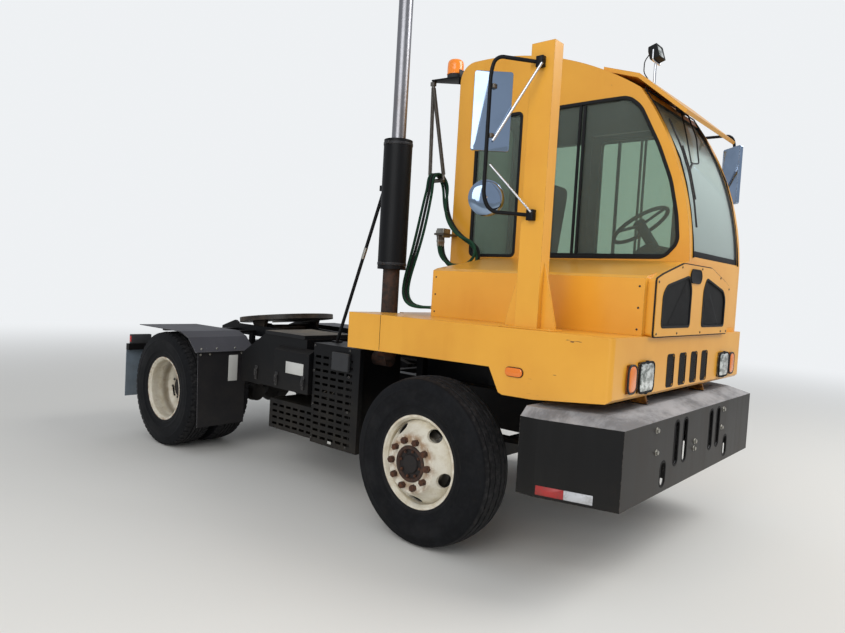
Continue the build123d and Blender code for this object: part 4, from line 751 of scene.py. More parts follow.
def widen(outline, by):  # a closed outline of pairs, moved outwards by so many millimetres
    following = outline[1:] + outline[:1]
    turn = 1 if sum(a[0] * b[1] - b[0] * a[1] for a, b in zip(outline, following)) > 0 else -1
    wider = []
    for before, corner, after in zip(outline[-1:] + outline[:-1], outline, following):
        corner = Vector(corner)
        first, second = (corner - Vector(before)).normalized(), (Vector(after) - corner).normalized()
        outOne, outTwo = Vector((first.y, -first.x)) * turn, Vector((second.y, -second.x)) * turn
        wider.append(tuple(corner + (outOne + outTwo) / max(0.3, 1 + outOne.dot(outTwo)) * by))
    return wider


def makeBolt():  # a hexagon head on its washer, 20 across, facing up; copied for every bolt
    startFresh()
    bpy.ops.mesh.primitive_cylinder_add(vertices=6, radius=0.010, depth=0.008, location=(0, 0, 0.006))
    bolt = workFace(settle("boltModel"), upward, (2, 1.2))
    bpy.ops.mesh.primitive_cylinder_add(vertices=14, radius=0.0135, depth=0.002, location=(0, 0, 0.001))
    startFresh()
    return bolt


def makeDome():  # a round button head, 20 across, facing up
    startFresh()
    bpy.ops.mesh.primitive_uv_sphere_add(segments=12, ring_count=8, radius=0.010, scale=(1, 1, 0.55))
    dome = settle("domeModel")
    edit(dome, True)
    bpy.ops.mesh.bisect(plane_co=(0, 0, 0), plane_no=upward, clear_inner=True, use_fill=True)
    startFresh()
    return dome


def fasten(model, name, finish, size, facing, places, body="chassis"):  # size is the head's width, in mm
    turn = Vector(facing).to_track_quat("Z", "Y").to_matrix().to_4x4()
    heads = [copyOf(model, Matrix.Translation(at(place)) @ turn @ Matrix.Scale(size / 20, 4)) for place in places]
    finishPiece(joinAll(name, heads), finish, body=body)


boltModel, domeModel = makeBolt(), makeDome()


# Tyres: the section is drawn from bead to bead and spun round the axle
tyreSet = {
    "steps": 144, "radius": 520, "track": 1100, "twinGap": 330,
    # radius and distance from the tyre's middle, from the bead to the shoulder
    "side": [(277, 98), (281, 113), (291, 119), (305, 120), (311, 125), (322, 124), (330, 127), (346, 131),
             (351, 134.5), (357, 134), (392, 139), (424, 139), (440, 137), (444, 138.5), (449, 136.5), (478, 130),
             (494, 125), (504, 119), (508, 112)],
    "grooveWide": 6, "grooveDeep": 14, "frontGrooves": (74, 28), "rearGrooves": (50, 17), "crown": 11,
    "wave": 1.7, "waveInner": 495, "waveHalf": 92,  # the ribs sway from side to side
    "lugs": 60, "lugInner": 74, "lugOuter": 127, "lugHalf": 18, "lugTall": (484, 519), "lugSlope": (6, 9),
}


def tyreSection(t, grooves):
    crown = lambda across: t["radius"] - t["crown"] * (across / 112) ** 2
    half = list(t["side"])
    wide, deep = t["grooveWide"], t["grooveDeep"]
    for groove in grooves:
        floor = crown(groove) - deep
        half += [(crown(groove + wide), groove + wide), (floor, groove + wide - 2), (floor, groove - wide + 2),
                 (crown(groove - wide), groove - wide)]
    half.append((crown(0), 0))
    return half + [(radius, -across) for radius, across in half[-2::-1]] + [half[0]]


def makeTyre(t, name, centre, grooves):
    tyre = addTurned(name, tyreSection(t, grooves), centre, t["steps"], leftward)
    middleOf = at(centre)
    step = 2 * pi / t["steps"]

    def swayed(vert, side):
        away = vert.co - middleOf
        if abs(away.y) > t["waveHalf"] / 1000 or Vector((away.x, away.z)).length < t["waveInner"] / 1000:
            return False
        return (round(atan2(away.x, away.z) / step) % 4 < 2) == side

    for side in (True, False):
        choose(tyre, "verts", lambda vert: swayed(vert, side))
        bpy.ops.transform.translate(value=(0, t["wave"] / 1000 * (1 if side else -1), 0))
    startFresh()
    return tyre


def makeLugs(t, name, centre):  # shoulder blocks of the driven tyres
    x, y, z = centre
    inward, down = t["lugSlope"]
    low, high = (z + tall for tall in t["lugTall"])
    nearTop = (high - 9) / 1000
    blocks = []
    for side in (-1, 1):
        inner, outer = sorted((y + side * t["lugInner"], y + side * t["lugOuter"]))
        block = addBlock(name, (x - t["lugHalf"], inner, low), (x + t["lugHalf"], outer, high))
        edit(block)
        edgeY = at((0, y + side * t["lugOuter"], 0)).y
        choose(block, "edges", lambda e: all(abs(v.co.y - edgeY) < 1e-4 and v.co.z > nearTop for v in e.verts))
        bpy.ops.transform.translate(value=(0, -side * inward / 1000, -down / 1000))
        blocks.append(block)
    lugs = joinAll(name, blocks)
    edit(lugs, True)
    count = t["lugs"]
    bpy.ops.mesh.spin(steps=count - 1, dupli=True, angle=2 * pi * (count - 1) / count, center=at(centre),
                      axis=leftward)
    return lugs


def makeTyres(t):
    front, outer = (0, -t["track"], t["radius"]), (rearX, -t["track"], t["radius"])
    frontTyre = makeTyre(t, "frontTyreRight", front, t["frontGrooves"])
    parts = [makeTyre(t, "rearTyreOuterRight", outer, t["rearGrooves"]), makeLugs(t, "rearLugsOuterRight", outer)]
    startFresh()
    inwards = Matrix.Translation((0, t["twinGap"] / 1000, 0))
    rearTyres = joinAll("rearTyresRight", parts + [copyOf(piece, inwards) for piece in parts])
    for piece, other, wheel in ((frontTyre, "frontTyreLeft", "front_tyre"), (rearTyres, "rearTyresLeft", "rear_tyres")):
        axle = wheel.split("_")[0]
        for twin, side in ((mirrored(piece, other), "_left"), (piece, "_right")):
            finishPiece(twin, axle + "Rubber", smooth=32, stands=(wheel + side,), body="wheel_" + axle + side)


makeTyres(tyreSet)
print("tyres")


# Wheel details: valve stems, the front hub's cap screws and nut caps, the rear hub's studs
wheelSet = {
    # count, circle's radius, head's width, distance of the face from the machine's middle, angle of the first one
    "hubCapScrews": (8, 78, 15, 1277, 0.2), "nutCaps": (10, 142, 30, 1304, pi / 2), "hubStuds": (8, 92, 20, 1071, 0),
    "axleZ": 520, "valveX": 150, "valveZ": 190, "valveY": {"front": 1225, "rear": 1085},
}


def makeWheelDetails(w):
    for side, word in ((-1, "right"), (1, "left")):
        for name, model, axle, x, finish in (("hubCapScrews", boltModel, "front", 0, "rust"),
                                             ("hubStuds", boltModel, "rear", rearX, "darkSteel"),
                                             ("nutCaps", domeModel, "front", 0, "rust")):
            count, radius, size, y, start = w[name]
            angles = [start + 2 * pi * index / count for index in range(count)]
            fasten(model, name + word, finish, size, (0, side, 0),
                   [(x + radius * sin(angle), side * y, w["axleZ"] + radius * cos(angle)) for angle in angles],
                   "wheel_" + axle + "_" + word)
        for x, axle in ((0, "front"), (rearX, "rear")):
            body = "wheel_" + axle + "_" + word
            x, y, z = x + w["valveX"], w["valveY"][axle], w["axleZ"] + w["valveZ"]
            stem = addTube("valve" + body, [(x, side * (y - 60), z), (x, side * y, z - 22)], 4)
            finishPiece(stem, "steel", body=body)


makeWheelDetails(wheelSet)
print("wheel details")


# Front cover: rubber seal, screws, wire mesh in the windows and a blank plate
coverSet = {
    "outline": [(-650, 1385), (650, 1385), (650, 1705), (560, 1735), (250, 1812), (-250, 1812), (-560, 1735),
                (-650, 1705)],
    "face": 1180, "sealWide": 7, "sealDeep": 9,
    "screws": [(-632, 1690), (-290, 1790), (60, 1797), (435, 1757), (-625, 1400), (-310, 1400), (95, 1400),
               (510, 1400), (632, 1690), (625, 1400)],
    "plate": (-52, 1746), "plateCorners": [(98, 15.4), (73.5, 44), (-73.5, 44), (-98, 15.4), (-98, -15.4),
                                           (-73.5, -44), (73.5, -44), (98, -15.4)],
    "windows": [(-560, 1438), (-110, 1438), (-110, 1665), (-160, 1742), (-510, 1672), (-560, 1620)],
    "meshPitch": 13, "wire": 1.6,
}


def wireMesh(name, x, outline, pitch, wire):  # a woven mesh across X over the outline's reach, in mm
    startFresh()
    low, high = (at((x, pick(y for y, z in outline), pick(z for y, z in outline))) for pick in (min, max))
    wide, tall = high.y - low.y, high.z - low.z
    bpy.ops.mesh.primitive_grid_add(x_subdivisions=max(2, round(tall * 1000 / pitch)),
                                    y_subdivisions=max(2, round(wide * 1000 / pitch)), size=1,
                                    location=(low + high) / 2, rotation=(0, pi / 2, 0))
    bpy.context.object.scale = (tall, wide, 1)
    mesh = settle(name)
    edit(mesh, True)
    bpy.ops.mesh.poke()
    choose(mesh, "edges", lambda e: abs(e.verts[0].co.y - e.verts[1].co.y) < 1e-4
           or abs(e.verts[0].co.z - e.verts[1].co.z) < 1e-4)
    bpy.ops.mesh.dissolve_edges()
    return applied(mesh, "strands", "WIREFRAME", thickness=wire / 1000)


def makeFrontCover(c):
    face, deep = c["face"], c["sealDeep"]
    seal = addRing("coverSeal", acrossX(face - deep - 4, widen(c["outline"], c["sealWide"])), ahead, deep,
                   c["sealWide"] + 2, 22)
    finishPiece(seal, "seal", 2)
    for side in (-1, 1):
        outline = [(side * -y, z) for y, z in c["windows"]]
        trim = addRing("windowTrim" + str(side), acrossX(face - 6, widen(outline, 7)), ahead, 9, 14, 30)
        finishPiece(trim, "seal", 2)
        # near-black sheet behind each window: painted shade behind the mesh
        finishPiece(addPlate("windowShadeSheet" + str(side), acrossX(face - 9, widen(outline, 2)), ahead, 2, 26), "shadeAndSeam")
        mesh = wireMesh("coverMesh" + str(side), face - 5,
                        [(y + reach, z + reach) for y, z in outline for reach in (-4, 4)], c["meshPitch"], c["wire"])
        wider = widen(outline, 3)
        for a, b in zip(wider, wider[1:] + wider[:1]):  # cut to the window's outline
            edit(mesh, True)
            outward = Vector((0, b[1] - a[1], a[0] - b[0])) * -side
            bpy.ops.mesh.bisect(plane_co=at((0, *a)), plane_no=outward, clear_outer=True)
        finishPiece(mesh, "wire")
    fasten(domeModel, "coverScrews", "darkSteel", 15, ahead, acrossX(face, c["screws"]))
    y, z = c["plate"]
    plate = addPlate("bareDisc", acrossX(face - 1, [(y + a, z + b) for a, b in c["plateCorners"]]), ahead, 9, 14)
    finishPiece(workFace(plate, ahead, (6, 0), (3, -3)), "seal", 1.5)


makeFrontCover(coverSet)
print("front cover")


# Front face: mesh in the four slots, lamps with bezels and bowls
faceSet = {
    "x": 1155, "slotsY": (-300, -100, 100, 300), "slotLow": 1080, "slotHigh": 1270, "slotHalf": 55,
    "meshPitch": 11, "wire": 1.8, "lampZ": 1162, "tab": (11, 9),
    # middle's y, half width, half height
    "clear": (682, 98, 84), "amber": (870, 52, 76),
}


def makeLamp(name, x, y, z, wide, tall, roundness, finish, bezel, pillow):
    rim = addRing(name + "Bezel", acrossX(x, rectangle(y - wide - 8, y + wide + 8, z - tall - 8, z + tall + 8)), ahead,
                  12, 9, roundness + 8)
    finishPiece(rim, bezel, 2.5)
    glass = addPlate(name + "Lens", acrossX(x - 4, rectangle(y - wide, y + wide, z - tall, z + tall)), ahead, 10,
                     roundness, 6)
    workFace(glass, ahead, *[(5, pillow * reach) for reach in (0.6, 0.25, 0.15)])  # rounds the lens's edge
    finishPiece(glass, finish, smooth=60)


def makeFrontFace(f):
    x, z, half, low, high = f["x"], f["lampZ"], f["slotHalf"], f["slotLow"], f["slotHigh"]
    for index, y in enumerate(f["slotsY"]):
        y0, y1, z0, z1 = y - half + 1, y + half - 1, low + 1, high - 1
        finishPiece(wireMesh("slotMesh" + str(index), x - 4, rectangle(y0, y1, z0, z1), f["meshPitch"], f["wire"]),
                    "wire")
        # near-black sheet behind each slot: painted shade behind the mesh
        finishPiece(addPad("slotShadeSheet" + str(index), (x - 10, y0, z0), (x - 7, y1, z1), ahead, (4, 0)), "shadeAndSeam")
        edge = addRing("slotTrim" + str(index),
                       acrossX(x - 3, rectangle(y - half - 5, y + half + 5, low - 5, high + 5)), ahead, 5, 7, 22)
        finishPiece(edge, "seal", 1.5)
    for side, word in sides:
        y, wide, tall = f["clear"]
        y *= side
        bowl = addPad("headlampBowl" + word, (x + 6, y - wide + 6, z - tall + 6), (x + 9, y + wide - 6, z + tall - 6),
                      ahead, (12, 0), (22, -4))
        finishPiece(bowl, "chrome")
        makeLamp("headlamp" + word, x + 7, y, z, wide - 4, tall - 4, 30, "lampGlass", "seal", 7)
        for up in (-1, 1):
            a, b = f["tab"]
            tab = addPad("headlampTab" + word + str(up), (x + 6, y - a, z + up * tall - b),
                         (x + 20, y + a, z + up * tall + b), ahead, (3, 0))
            finishPiece(tab, "seal", 1.5)
        outY, wide, tall = f["amber"]
        makeLamp("turnLamp" + word, x + 6, side * outY, z, wide - 4, tall - 4, 38, "amber", "darkSteel", 8)
        bulb = addRound("bulb" + word, (x + 6, y, z), ahead, 16, 8, 16)
        finishPiece(workFace(bulb, ahead, (6, 3)), "steel", smooth=50)


makeFrontFace(faceSet)
print("front face")


# Bumper: bolts and lips of the openings
bumperSet = {
    "face": 1250,
    "bolts": [(-689, 883), (-680, 760), (479, 878), (456, 758), (-62, 736), (-70, 693)],
    # y, z, half width, half height of the openings in its face
    "openings": ((378, 770, 32, 130), (236, 770, 32, 130), (560, 620, 36, 70)),
}


def makeBumperDetails(b):
    fasten(boltModel, "bumperBolts", "zinc", 26, ahead, acrossX(b["face"], b["bolts"]))
    for index, (side, (y, z, wide, tall)) in enumerate((side, one) for side in (-1, 1) for one in b["openings"]):
        y, a, c = side * y, wide + 11, tall + 8
        lip = addRing("bumperLip" + str(index), acrossX(b["face"] - 6, rectangle(y - a, y + a, z - c, z + c)), ahead, 7,
                      13, wide + 8, 6)
        # near-black lips: painted shade in the openings
        finishPiece(lip, "shadeAndSeam", 1.5)


makeBumperDetails(bumperSet)
print("bumper")


# Cab windows: rubber gaskets round the panes, the sliding panes' bars and trim at the windscreen's edges
cabSet = {
    "right": -10, "left": 1063, "proud": 5,
    "side": [(100, 1855), (98, 2930), (420, 2932), (640, 2930), (730, 2860), (872, 2590), (967, 2359), (1020, 2135),
             (1040, 1960), (955, 1862)],
    "narrow": rectangle(-606, -190, 1855, 2930), "gasket": 24, "bars": ((292, 1872, 2916), (326, 1880, 2908)),
    "door": rectangle(-60, 600, 1560, 2900), "rear": rectangle(250, 770, 1700, 3020),
    # arc of the windscreen in side view
    "arc": [(721, 2987), (806, 2861), (875, 2728), (936, 2615), (991, 2503), (1044, 2333), (1082, 2163), (1108, 2003),
            (1122, 1869)],
    "foot": [(1098, 56, 1868), (1098, 997, 1868), (1093, 997, 1915), (1093, 56, 1915)],
    "head": [(722, 52, 2990), (722, 1001, 2990)],
}


def makeGaskets(c):
    for side, word, y, windows in ((-1, "Right", c["right"], ("side", "narrow")), (1, "Left", c["left"], ("side",))):
        for name in windows:
            rim = addRing(name + "Gasket" + word, acrossY(y + side * c["proud"], widen(c[name], 9)), (0, -side, 0), 22,
                          c["gasket"], 44)
            finishPiece(rim, "seal", 4, 3, 50)
        for x, low, high in c["bars"]:
            bar = addBlock("paneBar" + word + str(x), (x - 9, y - side * 2 - 7, low), (x + 9, y - side * 2 + 7, high))
            edit(bar)
            choose(bar, "faces", lambda f: abs(f.normal.y) > 0.9)
            bpy.ops.mesh.inset(thickness=0.004)
            finishPiece(bar, "seal", 1.5)
        rail = addPad("paneRail" + word, (104, y - side * 3 - 6, 1868), (940, y - side * 3 + 6, 1884), upward, (3, 0))
        finishPiece(rail, "seal", 1.5)
    for name, points, facing, body in (("doorGlassGasket", acrossY(1070, widen(c["door"], 6)), rightward, "left_door"),
                                       ("rearGlassGasket", acrossX(-829, widen(c["rear"], 6)), ahead, "rear_door")):
        finishPiece(addRing(name, points, facing, 18, 20, 40), "seal", 4, 3, 50, body=body)


def makeWindscreenTrim(c):
    for word, y in (("Right", 50), ("Left", 1003)):
        finishPiece(addTube("windscreenTrim" + word, acrossY(y, c["arc"]), 5), "seal", smooth=60)
    finishPiece(addPlate("windscreenFoot", c["foot"], ahead, 12), "seal", 2)
    finishPiece(addTube("windscreenHead", c["head"], 5), "seal", smooth=60)


makeGaskets(cabSet)
makeWindscreenTrim(cabSet)
print("cab windows")


# Wiper: a long blade at the windscreen's right edge, carried by two parallel arms from below the visor
wiperSet = {
    "blade": [(886, 84, 2776), (978, 84, 2588), (1041, 80, 2420), (1090, 72, 2236), (1120, 68, 2062)],
    "arms": (((778, 560, 2960), (880, 420, 2752), (1012, 190, 2500)),
             ((790, 640, 2968), (905, 560, 2742), (1014, 330, 2516), (1022, 190, 2492))),
    "joint": (1020, 190, 2494), "motor": ((756, 520, 2946), (800, 680, 2984)),
}


def makeWiper(w):
    blade = addTube("wiperBlade", w["blade"], 6, 40)
    spine = addTube("wiperSpine", [(x + 9, y, z + 4) for x, y, z in w["blade"][1:4]], 5, 40)
    arms = [addTube("wiperArm" + str(index), arm, 5, 30) for index, arm in enumerate(w["arms"])]
    joint = addTube("wiperJoint", [w["blade"][2], w["joint"]], 8)
    finishPiece(joinAll("wiper", [blade, spine, joint] + arms), "darkSteel", smooth=50)
    finishPiece(addPad("wiperMotor", *w["motor"], (0, 0, -1), (8, 0)), "plastic", 4)


makeWiper(wiperSet)
print("wiper")


# Work lamp on the visor, marker and tail lamps, amber beacon
lampSet = {
    "work": ((700, 130, 3205), (760, 240, 3300)), "workTilt": 0.3, "workMiddle": (185, 3252),
    "marker": (520, 640, 1112, 1168), "markerY": 1100,
    "tail": (1000, 1200, 860, 950), "tailX": (8, 56), "lensIn": 55, "lensRadius": 36,
    "beacon": (-905, 45, 0),
    # radius and height of the beacon's turned parts
    "dome": [(0, 3458), (32, 3457), (50, 3452), (61, 3441), (66, 3424), (67, 3390), (67, 3345), (69, 3340), (69, 3334),
             (0, 3334)],
    "core": [(0, 3404), (22, 3400), (26, 3380), (18, 3350), (26, 3334), (0, 3334)],
    "base": [(0, 3336), (58, 3336), (65, 3332), (66, 3318), (64, 3302), (60, 3300), (0, 3300)],
    "bracket": [(-824, -5, 3300), (-824, 190, 3300), (-925, 140, 3300), (-1080, 10, 3300), (-1080, -50, 3300),
                (-925, -30, 3300)],
}


def makeWorkLamp(s):
    (x0, y0, z0), (x1, y1, z1) = low, high = s["work"]
    middleY, middleZ = s["workMiddle"]
    shell = addBlock("workLampShell", low, high)
    edit(shell)
    choose(shell, "faces", lambda f: f.normal.x < -0.9)
    bpy.ops.mesh.extrude_region_move(TRANSFORM_OT_translate={"value": (-0.014, 0, 0)})
    bpy.ops.transform.resize(value=(1, 0.6, 0.6))
    workFace(shell, ahead, (8, -12), extrude=True)
    glass = addPad("workLampGlass", (x1 - 9, y0 + 9, z0 + 9), (x1 - 5, y1 - 9, z1 - 9), ahead, (12, 3))
    for piece in (shell, glass):  # its face looks down at the road
        edit(piece, True)
        bpy.ops.transform.rotate(value=s["workTilt"], orient_axis="Y",
                                 center_override=at((x0 + 30, middleY, middleZ)))
    finishPiece(shell, "seal", 5, 3, stands=("headlamps",))
    finishPiece(glass, "lampGlass", smooth=60)
    yoke = addTube("workLampYoke", acrossX(x0 + 30, [(y0 - 8, 3262), (y0 - 8, 3192), (y1 + 8, 3192), (y1 + 8, 3262)]),
                   6, 14)
    stem = addRound("workLampStem", (725, middleY, 3105), upward, 9, 170, 16)
    finishPiece(joinAll("workLampBracket", [yoke, stem]), "chrome", smooth=50)
    wire = addTube("workLampWire", [(x0 - 10, 160, 3250), (x0 - 34, 140, 3200), (x0 - 30, 130, 3120),
                                    (x0 - 6, 150, 3080)], 3.5, 20)
    finishPiece(wire, "seal", smooth=60)


def rearEnd():
    return (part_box("mud_flaps")[0].x - frontAxle.x) * 1000


def makeSignalLamps(s):
    x0, x1, z0, z1 = s["marker"]
    inner, outer, low, high = s["tail"]
    front, back = (rearEnd() + reach for reach in s["tailX"])
    for side, word in sides:
        y, out = side * s["markerY"], (0, side, 0)
        finishPiece(addPlate("markerBase" + word, acrossY(y, rectangle(x0, x1, z0, z1)), out, 5, 27, 6), "seal", 1)
        marker = addPlate("marker" + word, acrossY(y + side * 4, rectangle(x0 + 4, x1 - 4, z0 + 4, z1 - 4)), out, 7, 23,
                          6)
        finishPiece(workFace(marker, out, (10, 4)), "amber", smooth=60, stands=("signal_lamps",) if side < 0 else ())
        y0, y1 = sorted((side * inner, side * outer))
        shell = addPad("tailLampBox" + word, (front, y0, low), (back, y1, high), behind, (8, -10), extrude=True)
        finishPiece(shell, "plastic", 4, 3)
        for y in (y0 + s["lensIn"], y1 - s["lensIn"]):
            tail = addRound("tailLens" + word + str(int(y)), (front + 6, y, (low + high) / 2), behind, s["lensRadius"],
                            12, 28)
            finishPiece(workFace(tail, behind, (12, 3)), "redLens", smooth=50)
        y0, y1 = sorted((side * (outer - 2), side * (outer + 5)))
        end = addPad("tailSideLens" + word, (front + 10, y0, low + 16), (back - 8, y1, high - 16), out, (6, 0))
        finishPiece(end, "redLens", 2)


def makeBeacon(s):
    for name, finish, steps in (("dome", "amberClear", 40), ("core", "chrome", 24), ("base", "plastic", 40)):
        finishPiece(addTurned("beacon" + name.capitalize(), s[name], s["beacon"], steps), finish, smooth=40)
    bracket = addPlate("beaconBracket", s["bracket"], (0, 0, -1), 12, 8)
    mount = addPad("beaconMount", (-830, 0, 3240), (-824, 130, 3360), behind, (4, 0))
    finishPiece(joinAll("beaconBracket", [bracket, mount]), "black", 2, stands=("beacon",))
    fasten(boltModel, "beaconBolts", "zinc", 15, behind, [(-830, y, z) for z in (3345, 3255) for y in (20, 110)])


makeWorkLamp(lampSet)
makeSignalLamps(lampSet)
makeBeacon(lampSet)
print("lamps")


# Seat: crowned cushions on the model's pedestal
seatSet = {
    "cushion": ((-320, 270, 1702), (210, 770, 1826)), "back": ((-376, 285, 1834), (-250, 755, 2478)),
    "crown": 26, "lean": 0.125, "hinge": (-250, 520, 1834),
}


def makeCushion(name, low, high, up, crown):
    piece = addBlock(name, low, high)
    edit(piece, True)
    bpy.ops.mesh.subdivide(number_cuts=4)
    normal = Vector(up)
    middle, span = (at(low) + at(high)) / 2, (at(high) - at(low)) / 2
    flat = [axis for axis in range(3) if up[axis] == 0]
    choose(piece, "faces", lambda f: f.normal.dot(normal) > 0.9)
    bpy.ops.transform.resize(value=[0.94 if axis in flat else 1 for axis in range(3)])
    for reach in (0.75, 0.45):  # the middle rises twice
        choose(piece, "verts", lambda v: (v.co - middle).dot(normal) > span.dot(normal) * 0.8
               and all(abs((v.co - middle)[axis]) < span[axis] * reach for axis in flat))
        bpy.ops.transform.translate(value=normal * crown / 2000)
    return applied(piece, "fullness", "SUBSURF", levels=3, render_levels=3)


def makeSeat(s):
    cushion = makeCushion("seatCushion", *s["cushion"], upward, s["crown"])
    back = makeCushion("seatBack", *s["back"], ahead, s["crown"])
    edit(back, True)
    bpy.ops.transform.rotate(value=-s["lean"], orient_axis="Y", center_override=at(s["hinge"]))
    finishPiece(cushion, "cloth", smooth=180, stands=("seat_cushions",))
    finishPiece(back, "cloth", smooth=180)


makeSeat(seatSet)
print("seat")


# Mirrors: flat heads with their straps, round heads as domes, tube frames and the chrome struts
mirrorSet = {
    # word, side, foot of the tube, which way its arms lean, height of the flat and the round head
    "sides": (("Right", -1, 600, -1048, 1, 2590, 2110), ("Left", 1, 748, 1063, -1, 2572, 2240)),
    "route": [(0, 0, 2860), (-205, 1198, 2890), (-225, 1213, 2810), (-225, 1213, 2110), (-190, 1190, 2030),
              (0, 0, 2020)],
    "tube": 11, "flatWide": 215, "flatTall": 440, "look": (0.653, 0.757), "strapAt": 0.62, "strap": (16, 16, 12),
    # radius and depth of the round head
    "round": [(0, 0), (60, 0), (84, 7), (98, 18), (104, 27), (102, 30), (94, 30), (92, 27), (0, 23)],
}


def makeMirror(m, word, side, baseX, baseY, lean, flatZ, roundZ):
    route = [(baseX + lean * x, side * max(y, side * baseY), z) for x, y, z in m["route"]]
    parts = [addTube("mirrorTube" + word, route, m["tube"], 40, 4)]
    for z in (route[0][2], route[-1][2]):
        y0, y1 = sorted((baseY, baseY + side * 34))
        parts.append(addPad("clamp", (baseX - 22, y0, z - 30), (baseX + 22, y1, z + 30), (0, side, 0), (6, 4)))
    finishPiece(joinAll("mirrorFrame" + word, parts), "black", 1.5, smooth=50)
    lookX, lookY = m["look"]
    facing, across = Vector((lookX, side * lookY, 0)), Vector((lookY, -side * lookX, 0))
    tubeAt = Vector((baseX + lean * m["route"][2][0], side * m["route"][2][1], 0))
    middle = tubeAt - facing * (m["tube"] + 1) + across * 20
    half, tall = m["flatWide"] / 2, m["flatTall"] / 2
    corners = [middle + across * a * half + Vector((0, 0, flatZ + b * tall)) for a, b in rectangle(-1, 1, -1, 1)]
    shell = workFace(addPlate("flatMirror" + word, corners, -facing, 27, 14), -facing, (10, -3), extrude=True)
    finishPiece(shell, "mirrorFace", 3, 3)
    straps, half = [], Vector(m["strap"])
    for z in (flatZ - tall * m["strapAt"], flatZ + tall * m["strapAt"]):
        spot = middle + Vector((0, 0, z))
        straps.append(addPad("strap", spot - half, spot + half, upward, (3, 0)))
    finishPiece(joinAll("mirrorStraps" + word, straps), "steel", 2)
    level, above = Vector((0, 0, roundZ)), Vector((0, 0, roundZ + 120))
    bowl = addTurned("roundMirror" + word, m["round"], middle + level, 40, -facing)
    finishPiece(bowl, "mirrorFace", smooth=45)
    hanger = addTube("roundHanger" + word, [middle + level, tubeAt + level, tubeAt + above], 7, 14)
    finishPiece(hanger, "chrome", smooth=50)
    struts = [addTube("mirrorStrut" + word, [(baseX + lean * 20, baseY + side * 36, 2846),
                                             (baseX - lean * 190, side * 1206, 2420)], 8, 0, 4),
              addTube("mirrorLowStrut" + word, [(baseX + lean * 10, baseY + side * 36, 2034),
                                                (baseX - lean * 200, side * 1206, 2290)], 6, 0, 4)]
    finishPiece(joinAll("mirrorStruts" + word, struts), "chrome", smooth=50)


def makeMirrors(m):
    for row in m["sides"]:
        makeMirror(m, *row)
    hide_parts("mirror_frames")
    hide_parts("mirror_heads")
    fasten(boltModel, "postBolts", "yellow", 20, upward, [(x, y, 1385) for x in (460, 740) for y in (-1027, -979)])
    foot = addPlate("postFoot", [(x, y, 1385) for x, y in rectangle(425, 775, -1070, -936)], upward, 8, 12)
    finishPiece(foot, "yellow", 2)


makeMirrors(mirrorSet)
print("mirrors")


# Hose supports: two coil springs below the beacon's bracket, sleeves at the hoses' ends and a dummy coupling
springSet = {
    "top": (-1080, -20, 3270), "feet": ((-1040, -42, 2480), (-890, -42, 2480)), "coil": 15, "wire": 2.6, "pitch": 9.5,
    "hook": 34, "end": 30,
    "sleeve": [(0, -4), (16, -4), (17, 0), (17, 16), (14, 20), (14, 46), (13, 50), (0, 50)],
    "coupling": ((-846, -150, 1990), (-772, -60, 2060)),
}


def makeSpring(s, name, top, foot):
    top, foot = Vector(top), Vector(foot)
    along = (top - foot).normalized()
    length = (top - foot).length - 2 * s["end"]
    startFresh()
    bpy.ops.mesh.primitive_circle_add(vertices=6, radius=s["wire"] / 1000, rotation=(pi / 2, 0, 0),
                                      location=(s["coil"] / 1000, 0, 0))
    turns = round(length / s["pitch"])
    spring = applied(settle(name), "coil", "SCREW", axis="Z", screw_offset=length / turns / 1000, iterations=turns,
                     steps=10, render_steps=10)
    lean = (top - foot).to_track_quat("Z", "Y").to_matrix().to_4x4()
    spring.data.transform(Matrix.Translation(at(foot + along * s["end"])) @ lean)
    edit(spring, True)
    bpy.ops.mesh.normals_make_consistent(inside=False)
    hooks = [addTube(name + "Hook" + str(index), [spot, spot + along * reach], 3)
             for index, (spot, reach) in enumerate(((foot, s["hook"]), (top, -s["hook"])))]
    return joinAll(name, [spring] + hooks)


def makeHoseSupports(s):
    for index, foot in enumerate(s["feet"]):
        finishPiece(makeSpring(s, "hangSpring" + str(index), s["top"], foot), "steel", smooth=60)
    for name, along, out, sag, *_ in hoseSet["hoses"]:
        points = [(p - Vector((frontAxle.x, 0, 0))) * 1000 for p in hosePoints(hoseSet, along, out, sag)]
        for word, spot, after, steps in (("Start", points[0], points[1], 20), ("End", points[-1], points[-2], 6)):
            finishPiece(addTurned(name + word, s["sleeve"], spot, steps, (after - spot).normalized()), "zinc", 1)
    finishPiece(addPad("couplingHead", *s["coupling"], behind, (14, 20), extrude=True), "zinc", 5, 3)


makeHoseSupports(springSet)
print("hose supports")


# Exhaust: bands on the shield, clamps of the pipe and the stay's sleeve
stackSet = {"x": -795, "y": -700, "bands": (1730, 2600), "shield": 105, "clamps": (1060, 1745), "pipe": 64,
            "sleeve": ((-1078, -727, 1772), (-1051.5, -722.6, 1856))}


def makeStackDetails(s):
    x, y, radius, pipe = s["x"], s["y"], s["shield"], s["pipe"]
    bands = []
    for z in s["bands"]:
        bands.append(addTurned("band" + str(z), band(radius - 2, radius + 3, z, 18), (x, y, 0), 48))
        bands.append(addPad("bandLug" + str(z), (x - 14, y - radius - 16, z - 1), (x + 14, y - radius + 2, z + 19),
                            rightward, (3, 0)))
    finishPiece(joinAll("shieldBands", bands), "darkSteel", 1)
    for z in s["clamps"]:
        finishPiece(addTurned("stackClamp" + str(z), band(pipe - 3, pipe + 5, z, 26), (x, y, 0), 40), "rust", 1)
    finishPiece(addTube("staySleeve", s["sleeve"], 15), "zinc", smooth=60)


makeStackDetails(stackSet)
print("exhaust")


